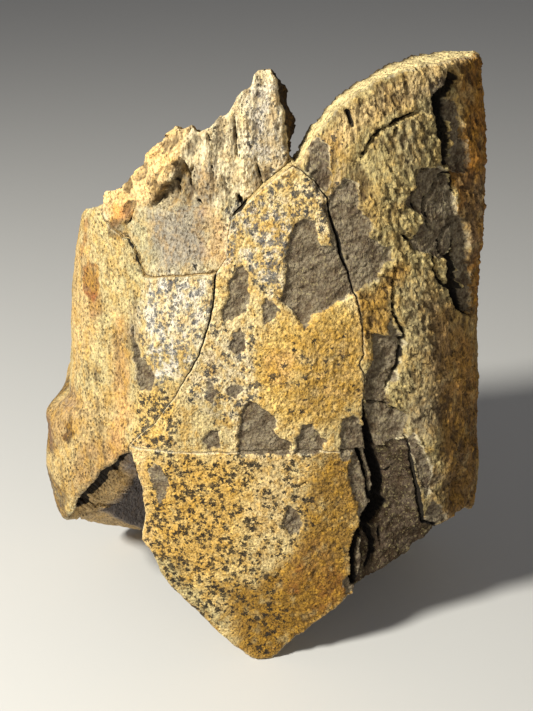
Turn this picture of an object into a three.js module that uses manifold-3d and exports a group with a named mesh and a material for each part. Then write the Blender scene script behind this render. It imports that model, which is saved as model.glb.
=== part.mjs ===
// Tyrannosaurus thigh bone: a length of hollow shaft put together again from six broken pieces.
// Millimetres. +Z runs up the shaft, -Y is the front and +X is to the right seen from the front.
//
// The wall is worked out flat and then wrapped round the shaft. On the flat wall a place is
// [u, v]: u is the distance round the skin from the middle of the front (left is negative),
// v is the height. Depth is counted inward from the sound outer skin.

import * as THREE from 'three';
import { SimplexNoise } from 'three/addons/math/SimplexNoise.js';
import Module from 'manifold-3d';

const wasm = await Module();
wasm.setup();

// ---------------------------------------------------------------- driving dimensions

const HALF_WIDTH = 96; // of the shaft's cross section, side to side
const HALF_DEPTH = 57; // of the shaft's cross section, front to back
const SQUARENESS = 2.6; // 2 is an ellipse; more gives flatter faces and tighter sides
const WALL = 17; // thickness of the bone wall round the marrow cavity
const TOP = 268; // the flat wall is trimmed down from here
const FRONT_FACET = 10; // size of the facets on the front
const FRONT_REACH = 112; // they reach this far round to each side
const BACK_FACET = 22; // facets of the plainer back and the marrow side
const LONGEST_EDGE = 23; // no edge is longer than this when the wall is wrapped
const FIT = 0.6; // width of the joint between two refitted pieces
const MOUTH = [1.7, 1.3]; // worn mouth of a joint: width and depth
const PROUD = 8; // cutters stand this far out of the skin
const BEYOND = 6; // and reach this far past the marrow side
const OVERRUN = 14; // the flat wall runs this far past the middle of the back at each end
const END = 272; // and its ends are trimmed between these two places

// Half widths of the left and right side at each height: [v, half width].
const LEFT_SIDE = [
  [0, 91], [40, 94], [60, 97], [85, 97.5], [98, 96], [107, 93.5], [112, 90.5], [116, 86],
  [140, 83.5], [180, 79], [200, 75], [262, 68],
];
const RIGHT_SIDE = [
  [0, 94], [50, 98], [75, 99], [133, 93.5], [180, 90.5], [225, 89.3], [262, 84],
];

// ---------------------------------------------------------------- cross section

class ShaftSection extends THREE.Curve {
  getPoint(t, target = new THREE.Vector3()) {
    const [x, y] = sectionPoint(t, HALF_WIDTH, HALF_DEPTH);
    return target.set(x, y, 0);
  }
}

// A rounded rectangle-like oval; t is 0 and 1 at the back, 0.5 at the front.
function sectionPoint(t, halfWidth, halfDepth) {
  const s = Math.sin((t - 0.5) * 2 * Math.PI);
  const c = Math.cos((t - 0.5) * 2 * Math.PI);
  const power = 2 / SQUARENESS;
  return [
    halfWidth * Math.sign(s) * Math.abs(s) ** power,
    -halfDepth * Math.sign(c) * Math.abs(c) ** power,
  ];
}

const section = new ShaftSection();
section.arcLengthDivisions = 2000;
const GIRTH = section.getLength();

// ---------------------------------------------------------------- broken ends

// Ends of the wall: [u, v], or [u, v, du, dv] where the break leans and its marrow edge
// is shifted by [du, dv] from its outer edge.
const TOP_END = [
  [-272, 176, 0, -5], [-255, 167, 0, -5], [-238, 162, 0, -5], [-215, 160, 0, -4],
  [-180, 166, 0, -6], [-150, 174, 0, -7], [-127, 181, 0, -7], [-108, 188, 0, -7],
  [-97, 197.5, 0, -8], [-87, 200.5, 0, -8], [-83.5, 201.5, 0, -8], [-82, 207.5, 0, -7],
  [-79.5, 208, 0, -7], [-74, 215, 0, -6], [-70.5, 217, 0, -6], [-67, 223.5, 0, -5],
  [-60, 226, 0, -5], [-57, 229, 0, -5], [-51, 233.5, 0, -5], [-40, 234.5, 0, -5],
  [-35, 232.5, 0, -6], [-28, 235, 0, -6], [-25, 238, 0, -6], [-20, 239.5, 0, -6],
  [-15, 245, 0, -6], [-7, 250, 0, -6],
  [-5.5, 253.5, 0, -6], [-3, 255, 0, -6], [2, 254.5, 3, -6], [4.5, 252, 6, -6],
  [8, 239.5, 6.5, -6], [9.5, 228, 3, -4], [10.8, 221.5],
  [13.5, 222.5, 0, -2], [18, 229, 0, -3], [23.5, 237, 0, -4.5], [30, 243.5, 0, -5.5],
  [37, 248, 0, -5], [45.5, 252, 0, -4.5], [53.5, 254.5, 0, -4], [64, 256, 0, -2.5],
  [78, 256.5, 0, -1], [98.5, 256.2, 0, -1], [115, 254.5, 0, -1], [130, 250.5, 0, -2],
  [150, 240, 0, -3],
  [175, 222, 0, -5], [200, 203, 0, -4], [225, 184, 0, -5], [238, 176, 0, -5],
  [255, 167, 0, -5], [272, 162, 0, -5],
];
const BOTTOM_END = [
  [-272, 0], [-204, 0], [-190, 2, 0, 3], [-178, 4, 0, 6], [-165, 10, 0, 7],
  [-149, 22, 0, 7], [-140, 29, 0, 7], [-127, 39, 0, 7], [-115, 43, 0, 6], [-105, 49, 0, 4],
  [-95, 55], [-86, 64, 0, -4], [-80, 75, 0, -12], [-70.5, 87.5, 0, -14],
  [-65, 93, 0, -13], [-61, 98, 0, -12], [-56, 101, 0, -8], [-54.5, 98, -1, 0],
  [-52, 90, -3, 0], [-50.5, 84, -4, 0], [-50, 73, -4, 0], [-51.5, 60, -3, 0], [-48, 54, -2, 0],
  [-46, 44, 0, 3], [-39, 34, 0, 5], [-30, 25, 0, 5], [-18.5, 12, 0, 4], [-7, 1, 0, 2],
  [-4, 0], [3, 0], [5.5, 2, 0, 2], [14, 12.5, 0, 4], [25, 22.5, 0, 4], [37, 34, 0, 4],
  [40, 31, 0, 4], [43, 33, 0, 4], [57, 43.5, 0, 4], [72.5, 54.5, 0, 4], [73.5, 63, 0, 4],
  [77, 62, 0, 5], [84, 63.5, 0, 4], [90, 64, 0, 3], [100, 58, 0, 4], [115, 52, 0, 4],
  [127, 49, 0, 4], [150, 38, 0, 4], [175, 22, 0, 3], [194, 7, 0, 2], [204, 0], [272, 0],
];

// ---------------------------------------------------------------- joints between the pieces

const TIP = [11, 222]; // where the upper left, middle and right pieces meet
const HEEL = [-22.5, 180.5]; // where the upper left, middle and left pieces meet
const CORNER = [41.5, 104]; // where the middle, lower front and right pieces meet

const UPPER_EDGE = [
  TIP, [9.5, 221.5], [-1.5, 213.5], [-9.5, 207.5], [-15.5, 203], [-17.5, 194.5],
  [-18, 186.5], HEEL,
];
const SHELF_EDGE = [
  HEEL, [-45, 178.5], [-57, 177], [-59.5, 180], [-67, 190.5], [-76.5, 194],
  [-81.5, 197], [-83.5, 203],
];
const LEFT_JOINT = [
  HEEL, [-23, 170.5], [-24.5, 162], [-29, 147.5], [-35.5, 136.5], [-40, 128.5],
  [-45.5, 121], [-51, 113], [-57, 104],
];
const RIGHT_JOINT = [
  TIP, [15, 220], [19, 216.5], [24.5, 210], [26.5, 201], [29.5, 193], [31, 186.5], [34, 180],
  [36, 172], [38.5, 163.5], [39.5, 147], [37.5, 142.5], [40, 139], [40.5, 131], [39.5, 125.5],
  [41.5, 108], CORNER,
];
const LEVEL_JOINT = [[-57, 104], [-30, 104], [7, 105], CORNER];
const GAP_JOINT = [[-57, 104], [-57, 82]];
const PARTING = [[13, 224.5], [18.5, 232], [18.5, 280]]; // through the open air of the top notch

// Joint up the back, given from the middle of the back.
const BACK_JOINT = [
  [2, -10], [3, 14], [-4, 31], [-1, 52], [5, 70], [3, 88], [-5, 109], [-8, 128], [-2, 146],
  [6, 160], [8, 185],
];
const LONG_CRACK = [
  CORNER, [44, 96], [46.5, 88], [45.5, 77], [41, 66], [40, 57], [41.5, 50], [38.5, 26],
];
const SHOULDER_JOINT = [CORNER, [45, 103.5], [58, 108]];
const SLANT_JOINT = [
  [58, 108], [60, 97], [62.5, 83.5], [65, 72], [67.5, 64.5], [73, 62], [75, 50],
];

// The piece of flat wall that belongs to each fragment, closed along the joints.
const back = (line) => [...line].reverse();
const backEdge = (side) => BACK_JOINT.map(([du, v]) => [side * (GIRTH / 2 - FIT / 2) + du, v]);
const OUTLINES = {
  left_side_fragment: [
    ...LEFT_JOINT, [-57, -10], ...backEdge(-1), [-262, 280], [-83.5, 280],
    ...back(SHELF_EDGE.slice(1)),
  ],
  upper_left_fragment: [...UPPER_EDGE, ...SHELF_EDGE.slice(1), [-83.5, 280], ...back(PARTING)],
  middle_front_fragment: [
    ...back(LEFT_JOINT), ...back(UPPER_EDGE).slice(1), ...RIGHT_JOINT.slice(1),
    ...back(LEVEL_JOINT).slice(1, -1),
  ],
  lower_front_fragment: [...LEVEL_JOINT, ...LONG_CRACK.slice(1), [38.5, -10], [-57, -10]],
  lower_right_fragment: [
    ...back(LONG_CRACK), ...SHOULDER_JOINT.slice(1), ...SLANT_JOINT.slice(1),
    [75, -10], [38.5, -10],
  ],
  right_side_fragment: [
    ...back(SLANT_JOINT), ...back(SHOULDER_JOINT).slice(1), ...back(RIGHT_JOINT).slice(1),
    ...PARTING, [262, 280], ...back(backEdge(1)), [75, -10],
  ],
};
const JOINTS = [
  UPPER_EDGE, SHELF_EDGE, LEFT_JOINT, RIGHT_JOINT, LEVEL_JOINT, LONG_CRACK, SHOULDER_JOINT,
  SLANT_JOINT, GAP_JOINT,
];

// ---------------------------------------------------------------- surface relief

// Soft swells and hollows of the skin: [u, v, reach across, reach up, rise].
const SWELLS = [
  [-98, 150, 14, 60, 2.5], // long rounded ridge of the left side
  [-100, 82, 18, 24, 3], // its swelling low down
  [-68, 148, 10, 46, -2.5], // trough between that ridge and the front
  [-120, 130, 24, 500, -3.2], // both sides are a little flattened
  [120, 130, 24, 500, -3.2],
  [-118, 36, 26, 17, -3],
  [-112, 201, 22, 16, -0.5],
  [-42, 150, 20, 34, 1.5],
  [12, 145, 26, 30, 1.8], // crown of the middle piece
  [-6, 60, 34, 36, 2], // crown of the lower piece
  [48, 216, 20, 32, 1.8],
  [66, 140, 10, 40, 2.4], // rib left of the right edge
  [96, 205, 9, 46, 2.4],
  [76, 90, 10, 16, 2.6], // lumps at the lower right
  [66, 107, 5, 7, 3],
  [84, 79, 5, 7, -5],
  [-42, 192, 20, 9, -1.2], // dished shelf under the spire
  [-27, 219, 7, 9, 1.6], // lumps of the spire
  [-45, 226, 6, 6, 1.2],
  [-60, 214, 7, 7, 1.4],
  [71, 250, 5, 5, 2.6], // knob left of the deep groove
  [-205, 105, 34, 60, 3],
  [200, 120, 36, 60, 3],
];

// Places where layers of bone have spalled away: a depth and the outline of the patch.
const RECESSES = [
  {
    depth: (u, v) => (2 + 3 * THREE.MathUtils.smoothstep(v, 202, 208))
      * THREE.MathUtils.smoothstep(u, -86, -60),
    edge: [...UPPER_EDGE, ...SHELF_EDGE.slice(1), [-83.5, 275], [12, 275]],
  },
  {
    depth: () => 5,
    edge: [
      ...back(LONG_CRACK), ...SHOULDER_JOINT.slice(1), ...SLANT_JOINT.slice(1),
      [75, 20], [38.5, 20],
    ],
  },
  {
    depth: () => 3, // strip beside the long crack
    edge: [
      [43, 155], [50, 154], [51, 161], [54, 157], [57, 151], [56, 141], [54, 135], [50, 130],
      [52, 122], [59, 118], [58, 108], [45, 103.5], [41.5, 108], [40, 126], [40.5, 136], [44, 144],
    ],
  },
  {
    depth: () => 1.6, // great grey patch across the right joint
    edge: [
      [11, 200], [16, 203], [20, 201], [22, 193], [29, 190], [27, 203], [26, 212], [31, 217],
      [36, 215], [38, 206], [42, 200], [41, 195], [50, 190], [52, 184], [48, 183], [46, 177],
      [36, 173], [31, 172], [19, 164], [16, 158], [13, 164], [6, 170], [9, 179], [8, 187],
    ],
  },
  { depth: () => 1.5, edge: [[-12, 183], [-7, 181], [-7, 166], [-19, 160], [-19, 166], [-17, 179]] },
  { depth: () => 1.3, edge: [[-14, 158], [-8, 158], [-8, 148], [-16, 148]] },
  {
    depth: () => 1.7,
    edge: [
      [-10, 125], [-6, 128], [4, 122], [4, 114], [10, 109], [10, 102], [-10, 102], [-12, 112],
    ],
  },
  { depth: () => 1.5, edge: [[-26, 110], [-24, 114], [-20, 114], [-18, 106], [-25, 105]] },
  { depth: () => 1.7, edge: [[15, 117], [19, 117], [25, 110], [23, 103], [11, 103]] },
  { depth: () => 1.5, edge: [[31, 119], [36, 120], [41, 112], [41, 104], [30, 104]] },
  { depth: () => 1.3, edge: [[-47, 97], [-41, 99], [-38, 90], [-39, 81], [-44, 80]] },
  { depth: () => 1.5, edge: [[9, 80], [15, 75], [14, 68], [10, 65], [7, 72]] },
  { depth: () => 1.2, edge: [[17, 232], [22, 235], [24, 228], [23, 214], [20, 217], [16, 221]] },
  {
    depth: () => 1.5,
    edge: [[60, 216], [64, 218], [70, 217], [71, 212], [67, 208], [63, 203], [59, 208]],
  },
  {
    depth: () => 3, // slot with rounded ends in the trough of the left side
    edge: [
      [-63.5, 151], [-61, 155], [-59, 145], [-53, 140], [-50, 133], [-53, 130], [-57, 132],
      [-62, 144],
    ],
  },
  { depth: () => 7.5, edge: [[-35, 207], [-38, 222], [-43, 220], [-47, 216], [-52, 208]] },
  {
    depth: () => 9, // deep groove down the right edge
    edge: [
      [75, 259], [80, 259], [81.5, 250], [77, 245], [75.5, 236], [77, 228], [76.5, 218],
      [73, 218], [71, 226], [69, 234], [67, 241], [67.5, 246], [72, 249],
    ],
  },
  {
    depth: () => 7,
    edge: [
      [77, 199], [83, 197], [84, 186], [87, 174], [95, 153], [88, 157], [79, 168], [74, 176],
      [77, 184],
    ],
  },
  {
    depth: () => 9, // gaping part of the long crack
    edge: [
      [39.6, 126], [40.5, 112], [41, 104], [42.5, 87], [43, 82], [39.5, 74], [35, 65],
      [34.5, 56], [35.8, 44], [37, 37], [39.8, 37], [39, 49], [39.5, 58], [42, 66], [46, 75],
      [48.2, 81], [49.5, 88], [48, 96], [46, 104], [44, 112], [42, 119],
    ],
  },
];

// Open cracks that run into one piece without parting it.
const CRACKS = [
  { width: 2, depth: () => 4, line: [[62, 240.5], [53.5, 237.5], [46, 235], [39.5, 227], [38, 221]] },
  {
    width: 2.4,
    depth: () => 5,
    line: [[54, 184], [52, 171], [54.5, 163], [57, 151], [56, 141], [50, 130]],
  },
  { width: 2.4, depth: () => 5, line: [[68.5, 184], [70, 178], [75, 171], [78, 164], [84, 155]] },
  { width: 1.8, depth: () => 4, line: [[72, 214], [67, 210], [68, 202], [69, 195]] },
  { width: 1.8, depth: () => 4, line: [[54, 195], [58, 191.5], [61, 186]] },
  { width: 1.6, depth: () => 3, line: [[42, 125], [50, 123]] },
  { width: 2, depth: () => 4, line: [[-40, 223], [-37, 213], [-35, 207]] },
  { width: 1.6, depth: () => 4, line: [[-16, 239], [-14, 228], [-13, 222]] },
  { width: 1.6, depth: () => 4, line: [[-4, 224], [-1, 214]] },
];

// Pale face broken down and back along the upper left edge: it falls away beyond this line.
const BEVEL = { from: [-76, 196], to: [-37, 232], fall: 0.35 };

// ---------------------------------------------------------------- shape of the wall

const noise = new SimplexNoise({ random: () => THREE.MathUtils.seededRandom() });

function along(profile, v) {
  const i = Math.max(1, profile.findIndex(([height]) => height >= v));
  const [v0, a] = profile[i - 1];
  const [v1, b] = profile[i];
  return a + (b - a) * THREE.MathUtils.clamp((v - v0) / (v1 - v0), 0, 1);
}

function bevelFall(u, v) {
  const { from, to, fall } = BEVEL;
  if (u < from[0] - 7 || v < from[1]) return 0;
  const du = to[0] - from[0];
  const dv = to[1] - from[1];
  const beyond = (du * (v - from[1]) - dv * (u - from[0])) / Math.hypot(du, dv);
  return fall * Math.max(0, beyond) * THREE.MathUtils.smoothstep(u, from[0] - 7, from[0]);
}

// Height of the weathered skin above the sound wall.
function relief(u, v) {
  let rise = 0.8 * noise.noise(u / 26, v / 34) + 0.4 * noise.noise(u / 9 + 40, v / 11);
  for (const [cu, cv, ru, rv, h] of SWELLS) {
    rise += h * Math.exp(-(((u - cu) / ru) ** 2) - ((v - cv) / rv) ** 2);
  }
  return rise - bevelFall(u, v);
}

function marrowSide(u, v) {
  return WALL + 1.1 * noise.noise(u / 30 + 90, v / 30);
}

// ---------------------------------------------------------------- solids on the flat wall

// Triangles over a grid of cells; both faces of a sheet use it.
function gridCells(columns, rows, start, flip) {
  const cells = [];
  for (let i = 0; i < columns; i++) {
    for (let j = 0; j < rows; j++) {
      const a = start + i * (rows + 1) + j;
      const b = a + rows + 1;
      cells.push(...(flip ? [a, b + 1, b, a, a + 1, b + 1] : [a, b, b + 1, a, b + 1, a + 1]));
    }
  }
  return cells;
}

// A block over a rectangle of the wall whose outer face and marrow face are two surfaces.
function sheet(us, vs, outer, inner, wander = 0) {
  const points = [];
  const columns = us.length - 1;
  const rows = vs.length - 1;
  for (const face of [outer, inner]) {
    us.forEach((u, i) => vs.forEach((v, j) => {
      const edge = i === 0 || j === 0 || i === columns || j === rows;
      const du = edge ? 0 : wander * noise.noise(u, v + 7);
      const dv = edge ? 0 : wander * noise.noise(u + 31, v);
      points.push([u + du, face(u + du, v + dv), v + dv]);
    }));
  }
  const inside = points.length / 2;
  const cells = [...gridCells(columns, rows, 0, false), ...gridCells(columns, rows, inside, true)];
  for (const [p, q] of rimOf(columns, rows)) {
    cells.push(p, q + inside, q, p, p + inside, q + inside);
  }
  return solid(points, cells);
}

// Pairs of neighbours round the rim of a grid, counter-clockwise seen from outside the wall.
function rimOf(columns, rows) {
  const at = (i, j) => i * (rows + 1) + j;
  const pairs = [];
  for (let i = 0; i < columns; i++) {
    pairs.push([at(i, 0), at(i + 1, 0)], [at(i + 1, rows), at(i, rows)]);
  }
  for (let j = 0; j < rows; j++) {
    pairs.push([at(columns, j), at(columns, j + 1)], [at(0, j + 1), at(0, j)]);
  }
  return pairs;
}

// A prism through the wall with a given outline, which may lean between its two faces.
function prism(outline) {
  const area = THREE.ShapeUtils.area(outline.map(([u, v]) => new THREE.Vector2(u, v)));
  const line = area < 0 ? back(outline) : outline;
  const count = line.length;
  const ring = (depth) => line.map(([u, v, du = 0, dv = 0]) => [
    u + (du * depth) / WALL, depth, v + (dv * depth) / WALL,
  ]);
  const depths = [-PROUD, WALL / 2, WALL + BEYOND];
  const last = 2 * count;
  const contour = line.map(([u, v]) => new THREE.Vector2(u, v));
  const cells = [];
  for (const [a, b, c] of THREE.ShapeUtils.triangulateShape(contour, [])) {
    cells.push(a, b, c, a + last, c + last, b + last);
  }
  for (const start of [0, count]) {
    for (let i = 0; i < count; i++) {
      const a = start + i;
      const b = start + ((i + 1) % count);
      cells.push(a, b + count, b, a, a + count, b + count);
    }
  }
  return solid(depths.flatMap(ring), cells);
}

function solid(points, cells) {
  return new wasm.Manifold(new wasm.Mesh({
    numProp: 3,
    vertProperties: new Float32Array(points.flat()),
    triVerts: new Uint32Array(cells),
  }));
}

// Even steps between two values, none longer than the given step.
function steps(from, to, step) {
  const count = Math.max(1, Math.ceil((to - from) / step));
  return Array.from({ length: count + 1 }, (_, i) => from + ((to - from) * i) / count);
}

// What is taken away over a patch of skin, down to an even depth below the relief.
function recess({ edge, depth }) {
  const us = edge.map(([u]) => u);
  const vs = edge.map(([, v]) => v);
  const block = sheet(
    steps(Math.min(...us) - 1, Math.max(...us) + 1, FRONT_FACET),
    steps(Math.min(...vs) - 1, Math.max(...vs) + 1, FRONT_FACET),
    () => -PROUD + 1,
    (u, v) => depth(u, v) - relief(u, v) + 0.25 * noise.noise(u / 5, v / 7 + 60),
  );
  return block.intersect(prism(edge));
}

// The outline of a band that follows a line and runs half its width past both ends.
function band(open, width) {
  const sides = [[], []];
  const line = [
    runPast(open[1], open[0], width / 2),
    ...open.slice(1, -1),
    runPast(open.at(-2), open.at(-1), width / 2),
  ];
  line.forEach((point, i) => {
    const before = line[Math.max(0, i - 1)];
    const after = line[Math.min(line.length - 1, i + 1)];
    const across = new THREE.Vector2(before[1] - after[1], after[0] - before[0]).normalize();
    sides.forEach((side, k) => {
      const shift = (k ? -1 : 1) * (width / 2);
      side.push([point[0] + across.x * shift, point[1] + across.y * shift]);
    });
  });
  return [...sides[0], ...back(sides[1])];
}

function runPast([u0, v0], [u1, v1], distance) {
  const length = Math.hypot(u1 - u0, v1 - v0);
  return [u1 + ((u1 - u0) * distance) / length, v1 + ((v1 - v0) * distance) / length];
}

function flatWall() {
  const end = GIRTH / 2 + OVERRUN;
  const columns = [
    ...steps(-end, -FRONT_REACH, BACK_FACET).slice(0, -1),
    ...steps(-FRONT_REACH, FRONT_REACH, FRONT_FACET),
    ...steps(FRONT_REACH, end, BACK_FACET).slice(1),
  ];
  const skin = sheet(
    columns, steps(-2, TOP, FRONT_FACET), (u, v) => -relief(u, v), () => WALL + BEYOND, 1.6,
  );
  const lining = sheet(
    steps(-end, end, BACK_FACET), steps(-2, TOP, BACK_FACET), () => -PROUD, marrowSide, 2.5,
  );
  const above = prism([...TOP_END, [END, TOP + 12], [-END, TOP + 12]]);
  const below = prism([...BOTTOM_END, [END, -12], [-END, -12]]);
  return skin.intersect(lining).subtract(above).subtract(below);
}

// ---------------------------------------------------------------- wrapping round the shaft

function wrap([u, depth, v]) {
  const round = THREE.MathUtils.euclideanModulo(0.5 + u / GIRTH, 1);
  const t = section.getUtoTmapping(round);
  const halfWidth = along(round < 0.5 ? LEFT_SIDE : RIGHT_SIDE, v);
  const [x, y] = sectionPoint(t, halfWidth - depth, HALF_DEPTH - depth);
  return [x, y, v];
}

// Halves every long edge until none is left, so the flat faces can follow the curve.
function splitLongEdges(points, cells) {
  const middles = new Map();
  const length = (a, b) => Math.hypot(...points[a].map((value, k) => value - points[b][k]));
  const middle = (a, b) => {
    const key = a < b ? `${a},${b}` : `${b},${a}`;
    if (!middles.has(key)) {
      middles.set(key, points.length);
      points.push(points[a].map((value, k) => (value + points[b][k]) / 2));
    }
    return middles.get(key);
  };
  const done = [];
  const waiting = [...cells];
  while (waiting.length) {
    const [a, b, c] = waiting.pop();
    const sides = [[a, b, c], [b, c, a], [c, a, b]];
    const [p, q, r] = sides.reduce((long, side) => (
      length(side[0], side[1]) > length(long[0], long[1]) ? side : long
    ));
    if (length(p, q) <= LONGEST_EDGE) {
      done.push([a, b, c]);
    } else {
      const m = middle(p, q);
      waiting.push([p, m, r], [m, q, r]);
    }
  }
  return done;
}

function wrappedGeometry(flat) {
  const mesh = flat.getMesh();
  const points = [];
  for (let i = 0; i < mesh.numVert; i++) {
    points.push([...mesh.vertProperties.subarray(i * mesh.numProp, i * mesh.numProp + 3)]);
  }
  const cells = [];
  for (let i = 0; i < mesh.numTri; i++) {
    cells.push([...mesh.triVerts.subarray(i * 3, i * 3 + 3)]);
  }
  const triangles = splitLongEdges(points, cells);
  const geometry = new THREE.BufferGeometry();
  geometry.setAttribute('position', new THREE.Float32BufferAttribute(points.flatMap(wrap), 3));
  geometry.setIndex(triangles.flat());
  geometry.computeVertexNormals();
  return geometry;
}

// ---------------------------------------------------------------- the fragments

const COLOURS = {
  left_side_fragment: '#cdb27c',
  upper_left_fragment: '#b5a484',
  middle_front_fragment: '#bf9f5c',
  lower_front_fragment: '#b48f45',
  lower_right_fragment: '#80694a',
  right_side_fragment: '#a58d58',
};

let wall = flatWall();
for (const patch of RECESSES) wall = wall.subtract(recess(patch));
for (const { line, width, depth } of CRACKS) {
  wall = wall.subtract(recess({ edge: band(line, width), depth }));
}
for (const joint of JOINTS) {
  wall = wall.subtract(recess({ edge: band(joint, MOUTH[0]), depth: () => MOUTH[1] }));
  wall = wall.subtract(prism(band(joint, FIT)));
}

const group = new THREE.Group();
group.name = 'tyrannosaurus_femur_fossil';
for (const [name, outline] of Object.entries(OUTLINES)) {
  const piece = wall.intersect(prism(outline));
  const material = new THREE.MeshStandardMaterial({
    color: COLOURS[name],
    roughness: 0.78,
    metalness: 0,
  });
  const mesh = new THREE.Mesh(wrappedGeometry(piece), material);
  mesh.name = name;
  group.add(mesh);
}

export default group;
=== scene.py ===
# %% [markdown]
# # A refitted length of tyrannosaur thigh bone
#
# The object is a broken length of a big hollow leg bone, crushed a little flat and put together
# again from six fragments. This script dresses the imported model: it keeps the same wall, joints
# and breaks, and rebuilds each fragment fine enough to hold its grain, chips and splinters.
#
# The idea to learn here: a bone wall is a sheet. It is far easier to draw joints, pits and stains
# on a sheet laid flat than on a tube. So every fragment is worked out flat and rolled up last.

import bpy
import numpy as np
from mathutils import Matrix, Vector, geometry, kdtree


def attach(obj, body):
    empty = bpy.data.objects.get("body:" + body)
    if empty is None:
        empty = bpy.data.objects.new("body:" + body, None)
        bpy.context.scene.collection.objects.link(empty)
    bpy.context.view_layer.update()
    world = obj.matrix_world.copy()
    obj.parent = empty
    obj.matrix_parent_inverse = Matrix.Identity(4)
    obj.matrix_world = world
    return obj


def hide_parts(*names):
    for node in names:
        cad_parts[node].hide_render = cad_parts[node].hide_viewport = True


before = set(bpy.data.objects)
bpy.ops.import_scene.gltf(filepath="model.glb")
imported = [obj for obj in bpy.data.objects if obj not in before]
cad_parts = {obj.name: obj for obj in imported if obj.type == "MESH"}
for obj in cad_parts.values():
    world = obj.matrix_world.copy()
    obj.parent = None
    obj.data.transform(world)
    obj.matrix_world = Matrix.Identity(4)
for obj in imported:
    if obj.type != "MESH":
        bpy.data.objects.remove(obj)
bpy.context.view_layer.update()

print("nodes:", sorted(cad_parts))

# %% [markdown]
# ## The shaft's section, and rolling the flat wall round it
#
# A thigh bone's shaft is a tube; this one was squeezed, so its section is a rounded box that is
# wider than it is deep. A superellipse gives that with one number for how square it is. It could
# also be a bevelled curve, but a formula lets us roll any flat place round it exactly. A place on
# the flat wall is u (millimetres round the skin from the middle of the front), v (height) and a
# depth into the wall.

# %% Section of the shaft
MM = 0.001
HALF_WIDTH = 96.0
HALF_DEPTH = 57.0
SQUARENESS = 2.6
WALL = 17.0
LEFT_SIDE = np.array([
    (0, 91), (40, 94), (60, 97), (85, 97.5), (98, 96), (107, 93.5), (112, 90.5), (116, 86),
    (140, 83.5), (180, 79), (200, 75), (262, 68),
], float)
RIGHT_SIDE = np.array([
    (0, 94), (50, 98), (75, 99), (133, 93.5), (180, 90.5), (225, 89.3), (262, 84),
], float)


def oval(turn, half_width, half_depth):
    """A place on the section; turn is 0 and 1 at the back and 0.5 at the front."""
    angle = (turn - 0.5) * 2 * np.pi
    s, c = np.sin(angle), np.cos(angle)
    power = 2 / SQUARENESS
    x = half_width * np.sign(s) * np.abs(s) ** power
    y = -half_depth * np.sign(c) * np.abs(c) ** power
    return x, y


TURNS = np.linspace(0, 1, 20001)
ring_x, ring_y = oval(TURNS, HALF_WIDTH, HALF_DEPTH)
ARC = np.concatenate([[0], np.cumsum(np.hypot(np.diff(ring_x), np.diff(ring_y)))])
GIRTH = ARC[-1]


def roll(u, depth, v):
    """Rolls flat places round the shaft. Millimetres in, metres out."""
    share = np.mod(0.5 + u / GIRTH, 1.0)
    turn = np.interp(share * GIRTH, ARC, TURNS)
    left = np.interp(v, LEFT_SIDE[:, 0], LEFT_SIDE[:, 1])
    right = np.interp(v, RIGHT_SIDE[:, 0], RIGHT_SIDE[:, 1])
    half_width = np.where(share < 0.5, left, right)
    x, y = oval(turn, half_width - depth, HALF_DEPTH - depth)
    return np.column_stack([x, y, v]) * MM


print("girth of the shaft, mm:", round(GIRTH, 1))

# %% [markdown]
# ## Noise to weather with
#
# Bone weathers in three ways here: soft waves, chipped facets and long fibres. All three grow from
# random numbers tied to whole-number places, so that a place always gets the same number and the
# two sides of a joint agree. Blender's own textures could do it too, but a few lines of numpy are
# quick on a hundred thousand points and easy to follow.

# %% Smooth noise
def lattice(ix, iy, seed):
    """A repeatable random number from 0 to 1 for each whole-number place."""
    h = ix.astype(np.int64) * 374761393 + iy.astype(np.int64) * 668265263 + seed * 974634777
    h = (h ^ (h >> 13)) * 1274126177 & 0xFFFFFFFF
    return ((h ^ (h >> 16)) & 0xFFFFF) / 0xFFFFF


def smooth_noise(x, y, seed=0):
    """Gradient noise, about -1 to 1, with one wave per unit."""
    x, y = np.broadcast_arrays(np.asarray(x, float), np.asarray(y, float))
    ix, iy = np.floor(x), np.floor(y)
    fx, fy = x - ix, y - iy
    sx, sy = (f * f * f * (f * (f * 6 - 15) + 10) for f in (fx, fy))
    corners = []
    for dx, dy in ((0, 0), (1, 0), (0, 1), (1, 1)):
        angle = lattice(ix + dx, iy + dy, seed) * 2 * np.pi
        corners.append(np.cos(angle) * (fx - dx) + np.sin(angle) * (fy - dy))
    low = corners[0] + (corners[1] - corners[0]) * sx
    high = corners[2] + (corners[3] - corners[2]) * sx
    return 1.5 * (low + (high - low) * sy)


def layered(x, y, seed=0, layers=3):
    """Noise on noise, each layer half as high and twice as fine."""
    return sum(smooth_noise(x * 2**k, y * 2**k, seed + 17 * k) / 2**k for k in range(layers))


# %% [markdown]
# ### Two rougher kinds of noise
#
# Smooth noise alone looks like putty. Weathered bone has rounded bumps that meet in sharp creases,
# and freshly broken bone has small flat facets. Sculpting them by hand would take days; folding
# the noise gives the first, and a mosaic of tilted planes gives the second.

# %% Blisters with creases between them
def blistered(x, y, seed=0, layers=3):
    """Folded noise: rounded bumps that meet in sharp creases, as weathered bone has."""
    bend_x = 0.3 * smooth_noise(x * 0.9, y * 0.9, seed + 5)
    bend_y = 0.3 * smooth_noise(x * 0.9, y * 0.9, seed + 6)
    total = 0
    for k in range(layers):
        wave = smooth_noise((x + bend_x) * 2**k, (y + bend_y) * 2**k, seed + 13 * k)
        total = total + (np.abs(wave) ** 0.8 - 0.4) / 1.75**k
    return total


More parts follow.
